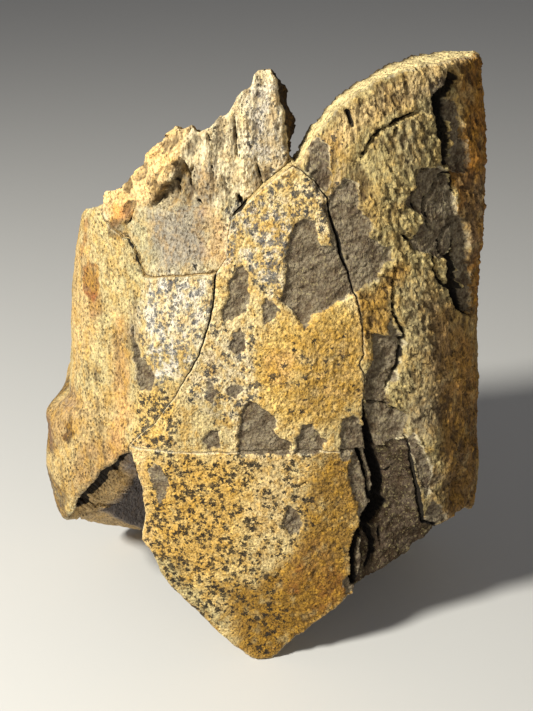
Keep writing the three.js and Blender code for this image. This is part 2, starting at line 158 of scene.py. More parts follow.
# %% Chipped facets
def facets(x, y, seed=0):
    """A mosaic of small tilted planes, as broken stone has. Height about -0.5 to 0.5."""
    x, y = np.broadcast_arrays(np.asarray(x, float), np.asarray(y, float))
    ix, iy = np.floor(x), np.floor(y)
    nearest = np.full(x.shape, 9.0)
    height = np.zeros(x.shape)
    for dx in (-1, 0, 1):
        for dy in (-1, 0, 1):
            cx, cy = ix + dx, iy + dy
            px = cx + lattice(cx, cy, seed)
            py = cy + lattice(cx, cy, seed + 1)
            away = (x - px) ** 2 + (y - py) ** 2
            lean_x = lattice(cx, cy, seed + 2) - 0.5
            lean_y = lattice(cx, cy, seed + 3) - 0.5
            plane = 1.3 * ((x - px) * lean_x + (y - py) * lean_y)
            plane = plane + 0.5 * (lattice(cx, cy, seed + 4) - 0.5)
            closer = away < nearest
            height = np.where(closer, plane, height)
            nearest = np.where(closer, away, nearest)
    return height


# %% [markdown]
# ## Lines and outlines
#
# Joints, cracks and the edges of spalled patches are all lines on the flat wall. Each is drawn by
# the few places where it turns, then walked in small steps and shaken sideways, because a real
# break never runs straight. Distances to these lines later carve ledges and place the stains.

# %% Draw a line, walk along it and shake it
def smoothstep(low, high, value):
    """A soft step from 0 at low to 1 at high."""
    t = np.clip((value - low) / (high - low), 0, 1)
    return t * t * (3 - 2 * t)


def walk(line, step):
    """Adds places along a line and keeps its corners. Columns: u, v, lean of u, lean of v."""
    rows = [np.array(tuple(p) + (0.0,) * (4 - len(p))) for p in line]
    out = [rows[0]]
    for a, b in zip(rows, rows[1:]):
        reach = step if abs(a[0] + b[0]) < 2 * FRONT_REACH else step * COARSER
        count = max(1, int(np.ceil(np.hypot(*(b - a)[:2]) / reach)))
        out += [a + (b - a) * k / count for k in range(1, count + 1)]
    return np.array(out)


def run_length(line):
    """How far along the line each of its places lies."""
    return np.concatenate([[0], np.cumsum(np.hypot(*np.diff(line[:, :2], axis=0).T))])


def shake(line, amount, length, seed):
    """Moves a walked line across its own direction, and leaves both its ends in place."""
    s = run_length(line)
    along = np.gradient(line[:, :2], axis=0)
    across = np.column_stack([-along[:, 1], along[:, 0]])
    across /= np.linalg.norm(across, axis=1)[:, None] + 1e-9
    size = smooth_noise(s / length, 0.5, seed) + 0.4 * smooth_noise(s / length * 3.7, 3.5, seed)
    size *= amount * np.clip(np.minimum(s, s[-1] - s) / 3, 0, 1)
    line[:, :2] += across * size[:, None]
    return line


# %% Distances to lines and outlines
def measure(line, u, v, reach=12.0):
    """Distance from each place to a line, and how far along the line that is."""
    line = np.asarray(line, float)[:, :2]
    best = np.full(u.shape, float(reach))
    where = np.zeros(u.shape)
    low, high = line.min(0) - reach, line.max(0) + reach
    near = np.nonzero((u > low[0]) & (u < high[0]) & (v > low[1]) & (v < high[1]))[0]
    pu, pv = u[near], v[near]
    dist, run = best[near], where[near]
    start = 0.0
    for a, b in zip(line, line[1:]):
        along = b - a
        length = np.hypot(*along) + 1e-9
        t = np.clip(((pu - a[0]) * along[0] + (pv - a[1]) * along[1]) / length**2, 0, 1)
        d = np.hypot(pu - a[0] - along[0] * t, pv - a[1] - along[1] * t)
        closer = d < dist
        dist = np.where(closer, d, dist)
        run = np.where(closer, start + t * length, run)
        start += length
    best[near], where[near] = dist, run
    return best, where


def within(outline, u, v, reach=12.0):
    """Distance to a closed outline: positive inside it, negative outside."""
    ring = np.vstack([outline, outline[:1]]).astype(float)
    dist, _ = measure(ring, u, v, reach)
    odd = np.zeros(u.shape, bool)
    for (u0, v0), (u1, v1) in zip(ring, ring[1:]):
        if v0 != v1:
            crosses = (v0 > v) != (v1 > v)
            odd ^= crosses & (u < u0 + (u1 - u0) * (v - v0) / (v1 - v0))
    return np.where(odd, dist, -dist)


# %% [markdown]
# ## Joints and broken ends
#
# These are the same lines that part the solids. Cutting the mesh with thin blades would also do,
# but then the two sides of a joint could not be chipped apart. So every fragment gets its own
# outline, made of shared lines. Places where several lines start or end get names. A broken end
# also has a lean: its marrow edge is shifted from its outer edge, so the break face slopes.

# %% How finely the wall is divided, in millimetres
STEP = 0.62
FRONT_REACH = 128.0  # to both sides of the middle of the front
COARSER = 2.3  # how many times longer the steps are at the back

# %% Places where fragments meet
TIP = (11, 222)
HEEL = (-22.5, 180.5)
CORNER = (41.5, 104)
NOTCH = (-57, 104)
NOTCH_FOOT = (-57, 100.5)
CRACK_FOOT = (39.2, 34.0)
SLANT_FOOT = (73.2, 60.7)
SHELF_END = (-83.3, 202.4)
BACK_OFFSETS = [
    (2.4, 0), (3, 14), (-4, 31), (-1, 52), (5, 70), (3, 88), (-5, 109), (-8, 128),
    (-2, 146), (6, 160), (6.4, 165.1),
]

# %% Joints
JOINTS = {
    "upper_edge": [
        TIP, (9.5, 221.5), (-1.5, 213.5), (-9.5, 207.5), (-15.5, 203), (-17.5, 194.5),
        (-18, 186.5), HEEL,
    ],
    "shelf_edge": [
        HEEL, (-45, 178.5), (-57, 177), (-59.5, 180), (-67, 190.5), (-76.5, 194),
        (-81.5, 197), SHELF_END,
    ],
    "left_joint": [
        HEEL, (-23, 170.5), (-24.5, 162), (-29, 147.5), (-35.5, 136.5), (-40, 128.5),
        (-45.5, 121), (-51, 113), NOTCH,
    ],
    "right_joint": [
        TIP, (15, 220), (19, 216.5), (24.5, 210), (26.5, 201), (29.5, 193), (31, 186.5),
        (34, 180), (36, 172), (38.5, 163.5), (39.5, 147), (37.5, 142.5), (40, 139),
        (40.5, 131), (39.5, 125.5), (41.5, 108), CORNER,
    ],
    "level_joint": [NOTCH, (-30, 104), (7, 105), CORNER],
    "notch_joint": [NOTCH, NOTCH_FOOT],
    "long_crack": [
        CORNER, (44, 96), (46.5, 88), (45.5, 77), (41, 66), (40, 57), (41.5, 50), CRACK_FOOT,
    ],
    "shoulder_joint": [CORNER, (45, 103.5), (58, 108)],
    "slant_joint": [
        (58, 108), (60, 97), (62.5, 83.5), (65, 72), (67.5, 64.5), (73, 62), SLANT_FOOT,
    ],
    "back_left": [(-GIRTH / 2 + du, v) for du, v in BACK_OFFSETS],
    "back_right": [(GIRTH / 2 + du, v) for du, v in BACK_OFFSETS],
}
print("joints:", len(JOINTS))

# %% [markdown]
# ### Worn mouths of the joints
#
# Refitted pieces touch deep down, but chips were lost along their edges, so each joint is open by
# a different amount along its length. A bevel of one width would look machined. The mouth is
# therefore given at a few places along each line and blended between them.

# %% How open each joint is: share of its length, millimetres
MOUTHS = {
    "upper_edge": [(0, 0.5), (0.12, 0.15), (0.4, 0.2), (0.46, 0.9), (0.54, 0.9), (0.6, 0.15),
                   (1, 0.1)],
    "shelf_edge": [(0, 0.1), (0.45, 0.1), (0.6, 0.3), (1, 0.2)],
    "left_joint": [(0, 0.8), (0.25, 0.65), (0.5, 0.4), (0.65, 0.2), (1, 0.12)],
    "right_joint": [(0, 0.3), (0.1, 0.4), (0.2, 0.8), (0.3, 1.5), (0.38, 0.8), (0.5, 0.4),
                    (0.78, 0.35), (0.86, 0.7), (1, 1.2)],
    "level_joint": [(0, 0.1), (0.8, 0.1), (1, 0.4)],
    "notch_joint": [(0, 0.3), (1, 0.5)],
    "long_crack": [(0, 1.0), (1, 1.0)],
    "shoulder_joint": [(0, 0.4), (0.3, 0.12), (1, 0.12)],
    "slant_joint": [(0, 0.4), (0.25, 1.0), (0.8, 1.5), (1, 1.2)],
    "back_left": [(0, 0.5), (1, 0.5)],
    "back_right": [(0, 0.5), (1, 0.5)],
}

# %% [markdown]
# ### The two broken ends
#
# The top rises to a spire on the left and to a long crest on the right; the foot comes to a blunt
# point in front and is undercut at the left. Boolean cuts would give flat faces. Drawing the
# ragged line itself, with a lean from place to place, keeps every small step of the outline.

# %% Broken ends: u, v, and how far the marrow edge is shifted
ENDS = {
    "top_left": [
        JOINTS["back_left"][-1], (-238, 162, 0, -5), (-215, 160, 0, -4), (-180, 166, 0, -6),
        (-150, 174, 0, -7), (-127, 181, 0, -7), (-108, 188, 0, -7), (-97, 197.5, 0, -8),
        (-87, 200.5, 0, -8), SHELF_END + (0, -8),
    ],
    "top_middle": [
        SHELF_END + (0, -8), (-82, 207.5, 0, -7), (-79.5, 208, 0, -7), (-74, 215, 0, -6),
        (-70.5, 217, 0, -6), (-67, 223.5, 0, -5), (-62, 226, 0, -5), (-60, 226, 0, -5),
        (-57, 229, 0, -5), (-51, 233.5, 0, -5), (-43.5, 233.5, 0, -5), (-40, 234.5, 0, -5),
        (-35, 232.5, 0, -6), (-28, 235, 0, -6), (-25, 238, 0, -6), (-20, 239.5, 0, -6),
        (-15, 245, 0, -6), (-7, 250, 0, -6), (-5.5, 253.5, 0, -6), (-3, 255, 0, -6),
        (2, 254.5, 3, -6), (4.5, 252, 6, -6), (8, 239.5, 6.5, -6), (9.5, 228, 3, -4), TIP,
    ],
    "top_right": [
        TIP, (13.5, 222.5, 0, -2), (18, 229, 0, -3), (23.5, 237, 0, -4.5),
        (30, 243.5, 0, -5.5), (37, 248, 0, -5), (45.5, 252, 0, -4.5), (53.5, 254.5, 0, -4),
        (64, 256, 0, -2.5), (78, 256.5, 0, -1), (98.5, 256.2, 0, -1), (115, 254.5, 0, -1),
        (130, 250.5, 0, -2), (150, 240, 0, -3), (175, 222, 0, -5), (200, 203, 0, -4),
        (225, 184, 0, -5), (238, 176, 0, -5), JOINTS["back_right"][-1],
    ],
    "foot_left": [
        JOINTS["back_left"][0], (-204, 0), (-190, 2, 0, 3), (-178, 4, 0, 6), (-165, 10, 0, 7),
        (-149, 22, 0, 7), (-140, 29, 0, 7), (-127, 39, 0, 7), (-115, 43, 0, 6), (-105, 49, 0, 4),
        (-95, 55), (-86, 64, 0, -4), (-80, 75, 0, -12), (-70.5, 87.5, 0, -14), (-65, 93, 0, -13),
        (-61, 98, 0, -12), NOTCH_FOOT + (0, -9),
    ],
    "foot_front": [
        NOTCH_FOOT + (0, -9), (-56, 100.5, 0, -8), (-54.5, 98, -1, 0), (-52, 90, -3, 0),
        (-50.5, 84, -4, 0), (-50, 73, -4, 0), (-51.5, 60, -3, 0), (-48, 54, -2, 0),
        (-46, 44, 0, 3), (-39, 34, 0, 5), (-30, 25, 0, 5), (-18.5, 12, 0, 4), (-7, 1, 0, 2),
        (-4, 0), (3, 0), (5.5, 2, 0, 2), (14, 12.5, 0, 4), (25, 22.5, 0, 4), (36, 32, 0, 4),
        CRACK_FOOT + (0, 4),
    ],
    "foot_wedge": [
        CRACK_FOOT + (0, 4), (44, 36, 0, 4), (57, 43.5, 0, 4), (72.5, 54.5, 0, 4),
        SLANT_FOOT + (0, 4),
    ],
    "foot_right": [
        SLANT_FOOT + (0, 4), (77, 62, 0, 5), (84, 63.5, 0, 4), (90, 64, 0, 3), (100, 58, 0, 4),
        (115, 52, 0, 4), (127, 49, 0, 4), (150, 38, 0, 4), (175, 22, 0, 3), (194, 7, 0, 2),
        (204, 0), JOINTS["back_right"][0],
    ],
}

print("places on the broken ends:", sum(len(line) for line in ENDS.values()))

# %% Walk and shake every line once, so that neighbours share it
LINES = {}
for seed, (name, line) in enumerate(JOINTS.items()):
    calm = 0.0 if name.startswith("back") else 0.28
    LINES[name] = shake(walk(line, STEP), calm, 4.0, seed)
for seed, (name, line) in enumerate(ENDS.items()):
    walked = walk(line, STEP)
    lifted = walked[:, 1] > 0.5
    wander = 0.45 if name == "foot_front" else 0.7
    rough = shake(walked.copy(), wander, 6.0, 40 + seed)
    LINES[name] = np.where(lifted[:, None], rough, walked)
print("points on the shared lines:", sum(len(line) for line in LINES.values()))

# %% Which lines go round each fragment
LOOPS = {
    "left_side_fragment": (
        "shelf_edge", "-top_left", "-back_left", "foot_left", "-notch_joint", "-left_joint",
    ),
    "upper_left_fragment": ("upper_edge", "shelf_edge", "top_middle"),
    "middle_front_fragment": ("left_joint", "level_joint", "-right_joint", "upper_edge"),
    "lower_front_fragment": ("level_joint", "long_crack", "-foot_front", "-notch_joint"),
    "lower_right_fragment": ("shoulder_joint", "slant_joint", "-foot_wedge", "-long_crack"),
    "right_side_fragment": (
        "right_joint", "shoulder_joint", "slant_joint", "foot_right", "back_right",
        "-top_right",
    ),
}


def loop_of(name):
    """Closed loop round a fragment, counter-clockwise, and how open the joint is at each place.

    A place on a broken end has no joint, and is marked with -1.
    """
    rows, mouths = [], []
    for part in LOOPS[name]:
        key = part.lstrip("-")
        line, mouth = LINES[key], np.full(len(LINES[key]), -1.0)
        if key in JOINTS:
            run = run_length(line)
            mouth = np.interp(run / run[-1], *np.array(MOUTHS[key]).T)
        if part.startswith("-"):
            line, mouth = line[::-1], mouth[::-1]
        rows.append(line[:-1])
        mouths.append(mouth[:-1])
    ring, mouth = np.vstack(rows), np.concatenate(mouths)
    ahead = np.roll(ring, -1, axis=0)
    if np.sum(ring[:, 0] * ahead[:, 1] - ahead[:, 0] * ring[:, 1]) < 0:
        ring, mouth = ring[::-1].copy(), mouth[::-1].copy()
    return ring, mouth


# %% [markdown]
# ## Relief of the skin
#
# The relief is a height above the sound skin, in millimetres. It is built in four steps: broad
# swells, the grain, layers that have spalled away, and cracks. A sculpted mesh could hold the same
# forms, but then nothing could be moved later. Here each form is one line in a list.
#
# Broad swells come first: the long ridge and trough of the left side, the bulge low down with its
# sharp shoulder, the crown of each piece. Each is a soft bump with its own reach. The break at the
# upper left is a bevel, so beyond a slanting line the skin falls away evenly.

# %% Swells and hollows: middle u, middle v, reach across, reach up, rise
SWELLS = [
    (-98, 150, 14, 60, 2.5), (-100, 82, 18, 24, 3), (-68, 148, 10, 46, -2.5),
    (-120, 130, 24, 500, -3.2), (120, 130, 24, 500, -3.2), (-118, 36, 26, 17, -3),
    (-112, 201, 22, 16, 0.8), (-42, 150, 20, 34, 1.5), (12, 145, 26, 30, 1.8),
    (-6, 60, 34, 36, 2), (48, 216, 20, 32, 1.8), (66, 140, 10, 40, 2.4), (96, 205, 9, 46, 2.4),
    (76, 90, 10, 16, 2.6), (66, 107, 5, 7, 3), (84, 79, 5, 7, -5), (-42, 192, 20, 9, -1.2),
    (-205, 105, 34, 60, 3), (200, 120, 36, 60, 3),
    (-27, 219, 7, 9, 1.6), (-45, 226, 6, 6, 1.2), (-60, 214, 7, 7, 1.4), (71, 250, 5, 5, 2.6),
    (-132, 102, 14, 9, -3.2), (-106, 105, 9, 5, 2.2), (-112, 114, 10, 4, -1.6),
]
BEVEL_FROM, BEVEL_TO = (-76, 196), (-37, 232)
BEVEL_FALL = 0.35  # millimetres down for each millimetre past the line


def broad_form(u, v):
    """Swells, hollows and the bevelled break, in millimetres above the sound skin."""
    rise = 0.8 * smooth_noise(u / 26, v / 34, 1) + 0.4 * smooth_noise(u / 9, v / 11, 2)
    for mid_u, mid_v, across, up, height in SWELLS:
        rise += height * np.exp(-(((u - mid_u) / across) ** 2) - ((v - mid_v) / up) ** 2)
    du, dv = BEVEL_TO[0] - BEVEL_FROM[0], BEVEL_TO[1] - BEVEL_FROM[1]
    beyond = (du * (v - BEVEL_FROM[1]) - dv * (u - BEVEL_FROM[0])) / np.hypot(du, dv)
    on_bevel = smoothstep(-83, -76, u) * (v > 190)
    return rise - BEVEL_FALL * np.maximum(0, beyond) * on_bevel


print("swells and hollows:", len(SWELLS))

# %% [markdown]
# ### Layers that have come away
#
# Old bone splits into layers like plywood, and patches of the top ones are gone. What is left is a
# sharp ledge round a rough grey-brown floor. Each patch is an outline with a depth; deep grooves
# and the slot-like pit use the same list with other edges.

# %% Outlines of the two rough fragments, by their joints
UPPER = JOINTS["upper_edge"] + JOINTS["shelf_edge"][1:]
WEDGE = JOINTS["long_crack"][::-1] + JOINTS["shoulder_joint"][1:] + JOINTS["slant_joint"][1:]
print("corners of the wedge:", len(WEDGE))

# %% Bare floors in front and the slot-like pit: outline, depth, kind
PATCHES = [
    ([(11, 200), (16, 203), (20, 201), (22, 193), (28, 191), (33, 192), (38, 182), (38, 173),
      (31, 170), (19, 164), (16, 158), (13, 164), (6, 170), (9, 179), (8, 187)], 1.5, "spall"),
    ([(26, 212), (31, 217), (36, 215), (38, 206), (42, 200), (41, 195), (50, 190), (52, 184),
      (48, 183), (46, 177), (36, 173), (31, 171), (27, 190), (24, 206)], 1.5, "spall"),
    ([(-13, 182), (-10, 184), (-7, 180), (-7, 170), (-9, 165), (-15, 161), (-19, 160), (-19, 166),
      (-16, 173), (-17, 178)], 1.2, "spall"),
    ([(-14, 157), (-11, 159), (-8, 156), (-9, 149), (-12, 147), (-16, 150)], 0.8, "spall"),
    ([(-3, 169), (1, 171), (6, 168), (4, 163), (0, 161)], 0.4, "spall"),
    ([(-10, 125), (-6, 128), (-2, 126), (4, 122), (4, 114), (10, 109), (11, 103), (-10, 103),
      (-12, 112)], 1.5, "spall"),
    ([(-26, 110), (-24, 114), (-20, 114), (-18, 106), (-24, 105)], 1.2, "spall"),
    ([(15, 117), (19, 117), (23, 112), (25, 110), (23, 103), (11, 103)], 1.4, "spall"),
    ([(31, 119), (36, 120), (42, 112), (42, 103), (30, 103)], 1.4, "spall"),
    ([(-26, 135), (-24, 137), (-22, 131), (-23, 125), (-26, 128)], 0.2, "spall"),
    ([(-18, 133), (-13, 135), (-9, 133), (-13, 129), (-17, 129)], 0.4, "spall"),
    ([(-47, 95), (-44, 98), (-41, 96), (-38, 89), (-40, 82), (-43, 80), (-45, 87)], 0.4,
     "spall"),
    ([(9, 80), (15, 75), (14, 68), (10, 65), (7, 72)], 1.2, "spall"),
    ([(30, 105), (35, 105), (34, 99), (31, 99)], 0.8, "spall"),
    ([(17, 229), (21, 232), (25, 229), (25.5, 219), (25, 211), (22, 213), (20, 216), (16, 220)],
     1.0, "spall"),
    ([(66, 250), (72, 252), (74, 246), (69, 243), (65, 245)], 0.8, "spall"),
    ([(61, 218.5), (65, 219), (71.5, 218), (76.5, 215.5), (78.5, 208.5), (79.5, 203), (81.5, 198),
      (81.5, 192.5), (80, 185.5), (75.5, 182), (69, 184), (62, 187.5), (59, 192), (62, 197.5),
      (65, 200.5), (56, 204.5), (55, 208.5), (59.5, 212.5), (60.5, 216)], 1.8, "spall"),
    ([(80.5, 199), (85, 197), (87.5, 188.5), (89, 180), (92, 170.5), (93, 160.5), (94, 155),
      (88, 156), (84, 172), (81, 186)], 2.6, "spall"),
    ([(43, 155), (50, 154), (51, 161), (54, 156), (57, 151), (56, 141), (54, 135), (50, 130),
      (52, 122), (59, 118), (58, 108), (45, 103), (42, 108), (41, 126), (40.5, 137), (44, 144)],
     2.8, "spall"),
    ([(35, 103), (39, 103), (43, 89), (44, 77), (39, 69), (36, 81), (34, 93)], 1.6, "spall"),
    ([(37, 57), (40, 64), (43, 55), (43, 45), (41, 33), (35, 33), (33, 38), (36, 44)], 1.8,
     "spall"),
    ([(76, 244), (81, 241), (83, 232), (86, 223), (88, 214), (77, 216), (77, 228), (74, 240)],
     2.0, "spall"),
    ([(60, 110), (64, 101), (69, 90), (66.5, 78), (62, 90), (58.5, 107)], 0.8, "spall"),
    ([(68, 77), (73, 72), (79, 63), (73, 62), (67.5, 65)], 1.0, "spall"),
    ([(-65, 154), (-62, 156), (-60, 149), (-57, 144), (-51, 141), (-49, 135), (-51, 130),
      (-56, 130), (-59, 135), (-63, 145)], 2.6, "slot"),
]

# %% Deep grooves and the gaping part of the long crack
PATCHES += [
    ([(75, 258), (80, 258), (81.5, 250), (77, 245), (75.5, 236), (77, 228), (76.5, 218),
      (73, 218), (71, 226), (69, 234), (67, 241), (67.5, 246), (72, 249)], 9.0, "groove"),
    ([(80.5, 199), (82, 192.5), (83, 187), (82.5, 181), (83, 176), (84.5, 171), (87, 165),
      (92, 154), (87, 156), (82, 159.5), (78, 167.5), (75.5, 176), (76.5, 182), (79.5, 185.5),
      (80, 192)], 7.0, "groove"),
    ([(39.6, 126), (39.8, 119), (40.5, 112), (41, 104.5), (43.2, 97), (44.3, 91), (44.6, 86),
      (43.5, 80.5), (41, 75), (38, 68), (35.8, 63), (34.8, 56), (35.8, 44), (37, 37), (39.8, 37),
      (39, 47), (38.5, 55), (39.5, 62), (44.5, 64.5), (47.5, 67), (50, 71), (53, 75),
      (50.5, 79), (51.5, 84), (51.5, 90), (49, 96), (46.8, 103), (45.6, 108.5), (42.8, 118),
      (40.5, 126)], 9.0, "groove"),
    ([(39, 104.6), (44, 104.6), (48, 96), (50, 88), (48, 79), (42, 80.5), (41.8, 88.5),
      (39.8, 96)], 3.2, "spall"),
    ([(36.8, 104.6), (39, 104.6), (41.2, 97), (42.8, 91), (43.2, 85), (43.3, 79), (41.8, 80),
      (41.2, 88.5), (39.6, 95.5)], 6.0, "groove"),
]
EDGE_WEAR = {  # how soft the edge of a patch is, outside and inside its outline
    "spall": (0.5, 0.55), "slot": (0.3, 1.6), "groove": (0.3, 1.2),
}
print("patches:", len(PATCHES))

# %% Two places where far more has come away
SPIRE_HOLLOW = [
    (-37, 204.5), (-38, 212), (-40, 219), (-41.5, 223), (-43.5, 222), (-46, 218), (-49, 214.5),
    (-53, 211), (-56, 208), (-58, 204.5),
]
WEDGE_DROP = 5.0  # the whole skin of the wedge is gone, less of it along the slanting joint
SOUND, BARE = -3.0, 1.2  # marks for sound skin and for a floor, as distances to a ledge


def fallen_layers(name, u, v, wobble):
    """How far the skin of the wedge and of the spire's foot lies below the sound skin."""
    cut = np.zeros(u.shape)
    if name == "lower_right_fragment":
        from_slant = measure(np.array(JOINTS["slant_joint"]), u, v, 14)[0]
        cut += WEDGE_DROP * smoothstep(-4, 12, from_slant)
    if name == "upper_left_fragment":
        cut = (2 + 3 * smoothstep(202, 208, v)) * smoothstep(-86, -60, u)
        hollow = within(np.array(SPIRE_HOLLOW), u, v, 4) + 1.5 * wobble
        from_cliff = np.clip((15 * (u + 57) - 15 * (v - 206)) / 21, 0, 16)
        fallen = 4.4 - 0.28 * from_cliff + 1.5 * facets(u / 2.2, v / 8, 372)
        cut = cut + fallen * smoothstep(-0.5, 0.9, hollow)
    return cut


# %% Cut the patches
def edge_wobble(u, v):
    """Shifts the edges of patches and cracks, so that none runs smoothly."""
    wobble = 1.0 * smooth_noise(u / 5, v / 5.5, 369) + 0.7 * smooth_noise(u / 2.3, v / 2.5, 370)
    return wobble + 0.3 * smooth_noise(u / 1.1, v / 1.2, 371)


def floor_grain(u, v):
    """Creases and facets of a bare floor; they slant, as the layers of the bone do."""
    slope_v = v - 0.5 * u
    creased = 0.75 * blistered(u / 5.5, slope_v / 3.2, 380, 4)
    return creased + 0.9 * facets(u / 7, slope_v / 4.2, 382)


def cut_patches(u, v, wobble, rough, cut, spall, dark):
    """Lowers the skin inside every patch, roughens its floor and marks both."""
    for outline, depth, floor in PATCHES:
        start, full = EDGE_WEAR[floor]
        inside = within(np.array(outline), u, v, 4)
        inside += wobble * (0.5 if floor == "groove" else 1.0)
        share = smoothstep(-start, full, inside)
        if floor == "groove":
            # Painted shade: the floor of a groove is marked for the near-black fill.
            open_top = 1 - smoothstep(251, 255, v)
            dark = np.maximum(dark, np.clip(inside, -2, 2) * open_top - 2 * (1 - open_top))
            cut += depth * share * open_top
            continue
        spall = np.maximum(spall, inside)
        calm = 0.7 * smoothstep(-0.3, 1.0, inside)
        rough = rough * (1 - calm) + calm * floor_grain(u, v)
        cut = np.maximum(cut, depth * share)
    return rough, cut, spall, dark


# %% [markdown]
# ### Cracks
#
# Dry bone cracks along its layers: short dark lines that taper at both ends. They could be painted
# on, but then they would catch no light. So each is a line with a width and a depth that is cut
# into the skin; its width varies a little on the way.

# %% Cracks that run into one piece: width, depth, line
CRACKS = [
    (1.3, 3.5, [(62, 241), (53, 238), (46, 235), (42, 232), (37, 225)]),
    (0.7, 2, [(52, 237), (49.5, 231)]),
    (1.1, 4, [(53, 184), (52, 174), (52, 162)]),
    (1.2, 4, [(52, 164), (54, 160), (57, 154), (56, 141), (50, 129)]),
    (1.9, 4, [(69.5, 185), (70, 178.5), (72.3, 174), (75, 171.2), (78, 169.5)]),
    (1.3, 3, [(67, 219), (63, 218), (60.7, 215.5), (61.5, 212.5), (59.7, 210.5), (59.4, 207),
              (61.7, 202.5)]),
    (1.6, 4, [(77, 216), (72, 214.5), (70, 211.5), (68.5, 209.5), (65.4, 207), (65, 200.5),
              (69, 194.5)]),
    (0.9, 2.5, [(68, 205), (67, 201), (69, 195.5)]),
    (1.4, 3, [(81, 197), (75.5, 193.5), (73, 190), (73.6, 185.3), (76.3, 182)]),
    (1.7, 4, [(76.5, 221), (77.7, 218), (78.7, 212.5), (79.3, 206.5)]),
    (1.5, 4, [(53, 196), (58, 192), (61, 187)]),
    (0.7, 3, [(59, 190), (62, 194)]),
    (0.7, 3, [(41, 125), (50, 123.5), (57, 119)]),
    (2.6, 6, [(-43, 223), (-40.8, 219.5), (-39.7, 216), (-39, 213.5), (-37, 211)]),
    (1.2, 4, [(-48, 215), (-46.5, 211), (-46, 207.5)]),
    (1.0, 3, [(-52, 211), (-51, 208), (-50.5, 205.5)]),
    (1.0, 3, [(-36, 222), (-37.5, 219), (-38.4, 216)]),
    (0.9, 2.5, [(-40.2, 235), (-40, 231.5)]),
    (1.2, 2.5, [(-36.8, 236), (-34.6, 233.2)]),
    (1.1, 3, [(-29.7, 233), (-28.8, 228.5)]),
    (0.6, 2, [(-27.4, 235.5), (-27, 232)]),
    (0.6, 2, [(-26.3, 235.5), (-25.8, 232)]),
    (0.6, 2, [(-24.8, 235.5), (-24.3, 231.5)]),
    (0.5, 2.5, [(-16, 239), (-15, 232), (-14, 223)]),
    (1.2, 4, [(-4, 221), (-2, 216), (-0.5, 213)]),
    (0.4, 1.6, [(-28, 232), (-27, 222), (-25, 214)]),
    (0.35, 1.2, [(-9, 236), (-8, 230), (-6, 226)]),
    (2.6, 4.5, [(-34.5, 207.5), (-31, 206)]),
    (3.2, 5, [(-14, 209.5), (-10.5, 206)]),
    (1.1, 3, [(-66, 203.5), (-68, 199), (-71, 195)]),
    (0.8, 2, [(-69, 192), (-65, 187), (-61, 182), (-58, 178)]),
    (0.7, 1.6, [(13, 88), (16, 90), (19, 94)]),
    (0.6, 1.4, [(3, 42), (6, 47), (7, 51)]),
    (0.8, 2, [(49.5, 90), (52.5, 91), (54.5, 94)]),
    (3.4, 6, [(41, 67.5), (43.5, 65), (45.8, 61), (47.2, 56), (47.7, 51.5), (46.4, 47.5),
              (45, 43)]),
    (1.0, 2.5, [(49.7, 65), (50, 60), (50.8, 54)]),
    (1.2, 4, [(84, 90), (80, 82), (79, 74), (83, 70)]),
    (2.6, 3, [(31, 243), (33, 240), (34, 236.5)]),
    (0.9, 3, [(84, 228), (83, 214), (86, 206)]),
]
print("cracks:", len(CRACKS))

# %% Cut the cracks
def cut_cracks(u, v, wobble, cut, dark):
    """Cuts every crack into the skin and marks it for the near-black fill: dark earth and painted
    shade.
    """
    for width, depth, line in CRACKS:
        away, run = measure(np.array(line), u, v, 5)
        length = run_length(np.array(line, float))[-1]
        taper = np.clip(np.minimum(run + 1.5, length - run + 1.5) / 5, 0.25, 1)
        half = 0.5 * width * taper * (1 + 0.4 * smooth_noise(run / 2.5, depth, 390))
        away = np.abs(away + 0.5 * wobble * (away < 4))
        share = np.clip(1 - away / (half + 0.4), 0, 1) ** 0.7
        cut += min(depth, 2.5 * width + 0.8) * share * taper
        dark = np.maximum(dark, half - away)
    return cut, dark


# %% [markdown]
# ### Grain
#
# The skin's texture tells how the bone broke: long splinters where it tore along its fibres,
# chunks on the bevelled break, chips and flakes where thin layers let go, lumps where sand clings.
# One noise for the whole bone would look like concrete, so every zone gets its own recipe, and
# the zones fade into each other. Towards both sides of the shaft the grain is calmer.

# %% Where each kind of grain lies: outline, softness of its border, kind, height
GRAIN = [
    (UPPER + [(-83.5, 270), (12, 270)], 1.5, "splinters", 1.0),
    ([(-76, 196), (-67, 204), (-57, 205), (-45, 220), (-38, 235), (-38, 270), (-95, 270),
      (-95, 200)], 3, "chunks", 1.0),
    ([(-71, 196), (-67, 203), (-57.5, 204.6), (-31.5, 206), (-19, 203), (-18, 187), (-23, 181),
      (-45, 178.5), (-57, 177), (-60, 180), (-67, 190)], 2, "calm", 1.0),
    ([(-3, 158), (6, 162), (18, 160), (30, 170), (38, 165), (39, 144), (39, 127), (27, 117),
      (14, 119), (6, 115), (0, 126), (-8, 132), (-9, 143)], 4, "chips", 1.0),
    ([(12, 222), (26, 200), (36, 170), (41, 125), (58, 108), (65, 70), (76, 50), (110, 45),
      (118, 270), (12, 270)], 2, "flakes", 1.0),
    ([(60, 125), (62, 84), (67, 60), (100, 55), (112, 80), (104, 150), (80, 150)], 8,
     "lumps", 1.0),
    ([(19, 216), (23, 232), (34, 240), (43, 224), (38, 206), (28, 206)], 4, "splinters", 1.3),
    (WEDGE + [(75, 20), (39.2, 20)], 1, "lumps", 0.7),
    ([(-31, 148), (-10, 148), (-10, 104), (-40, 104)], 6, "fibres", 0.6),
    ([(-125, 210), (-74, 200), (-60, 176), (-58, 104), (-90, 60), (-125, 60)], 6, "fibres", 0.5),
    ([(18, 104), (18, 74), (10, 52), (4, 0), (40, 30), (40, 104)], 6, "chips", 1.2),
    ([(-60, 104), (18, 104), (18, 74), (10, 52), (4, -5), (-60, 20)], 6, "chips", 0.42),
    ([(-255, 0), (-128, 0), (-128, 210), (-255, 210)], 10, "fibres", 0.8),
    ([(112, 0), (262, 0), (262, 265), (112, 265)], 10, "flakes", 0.6),
]
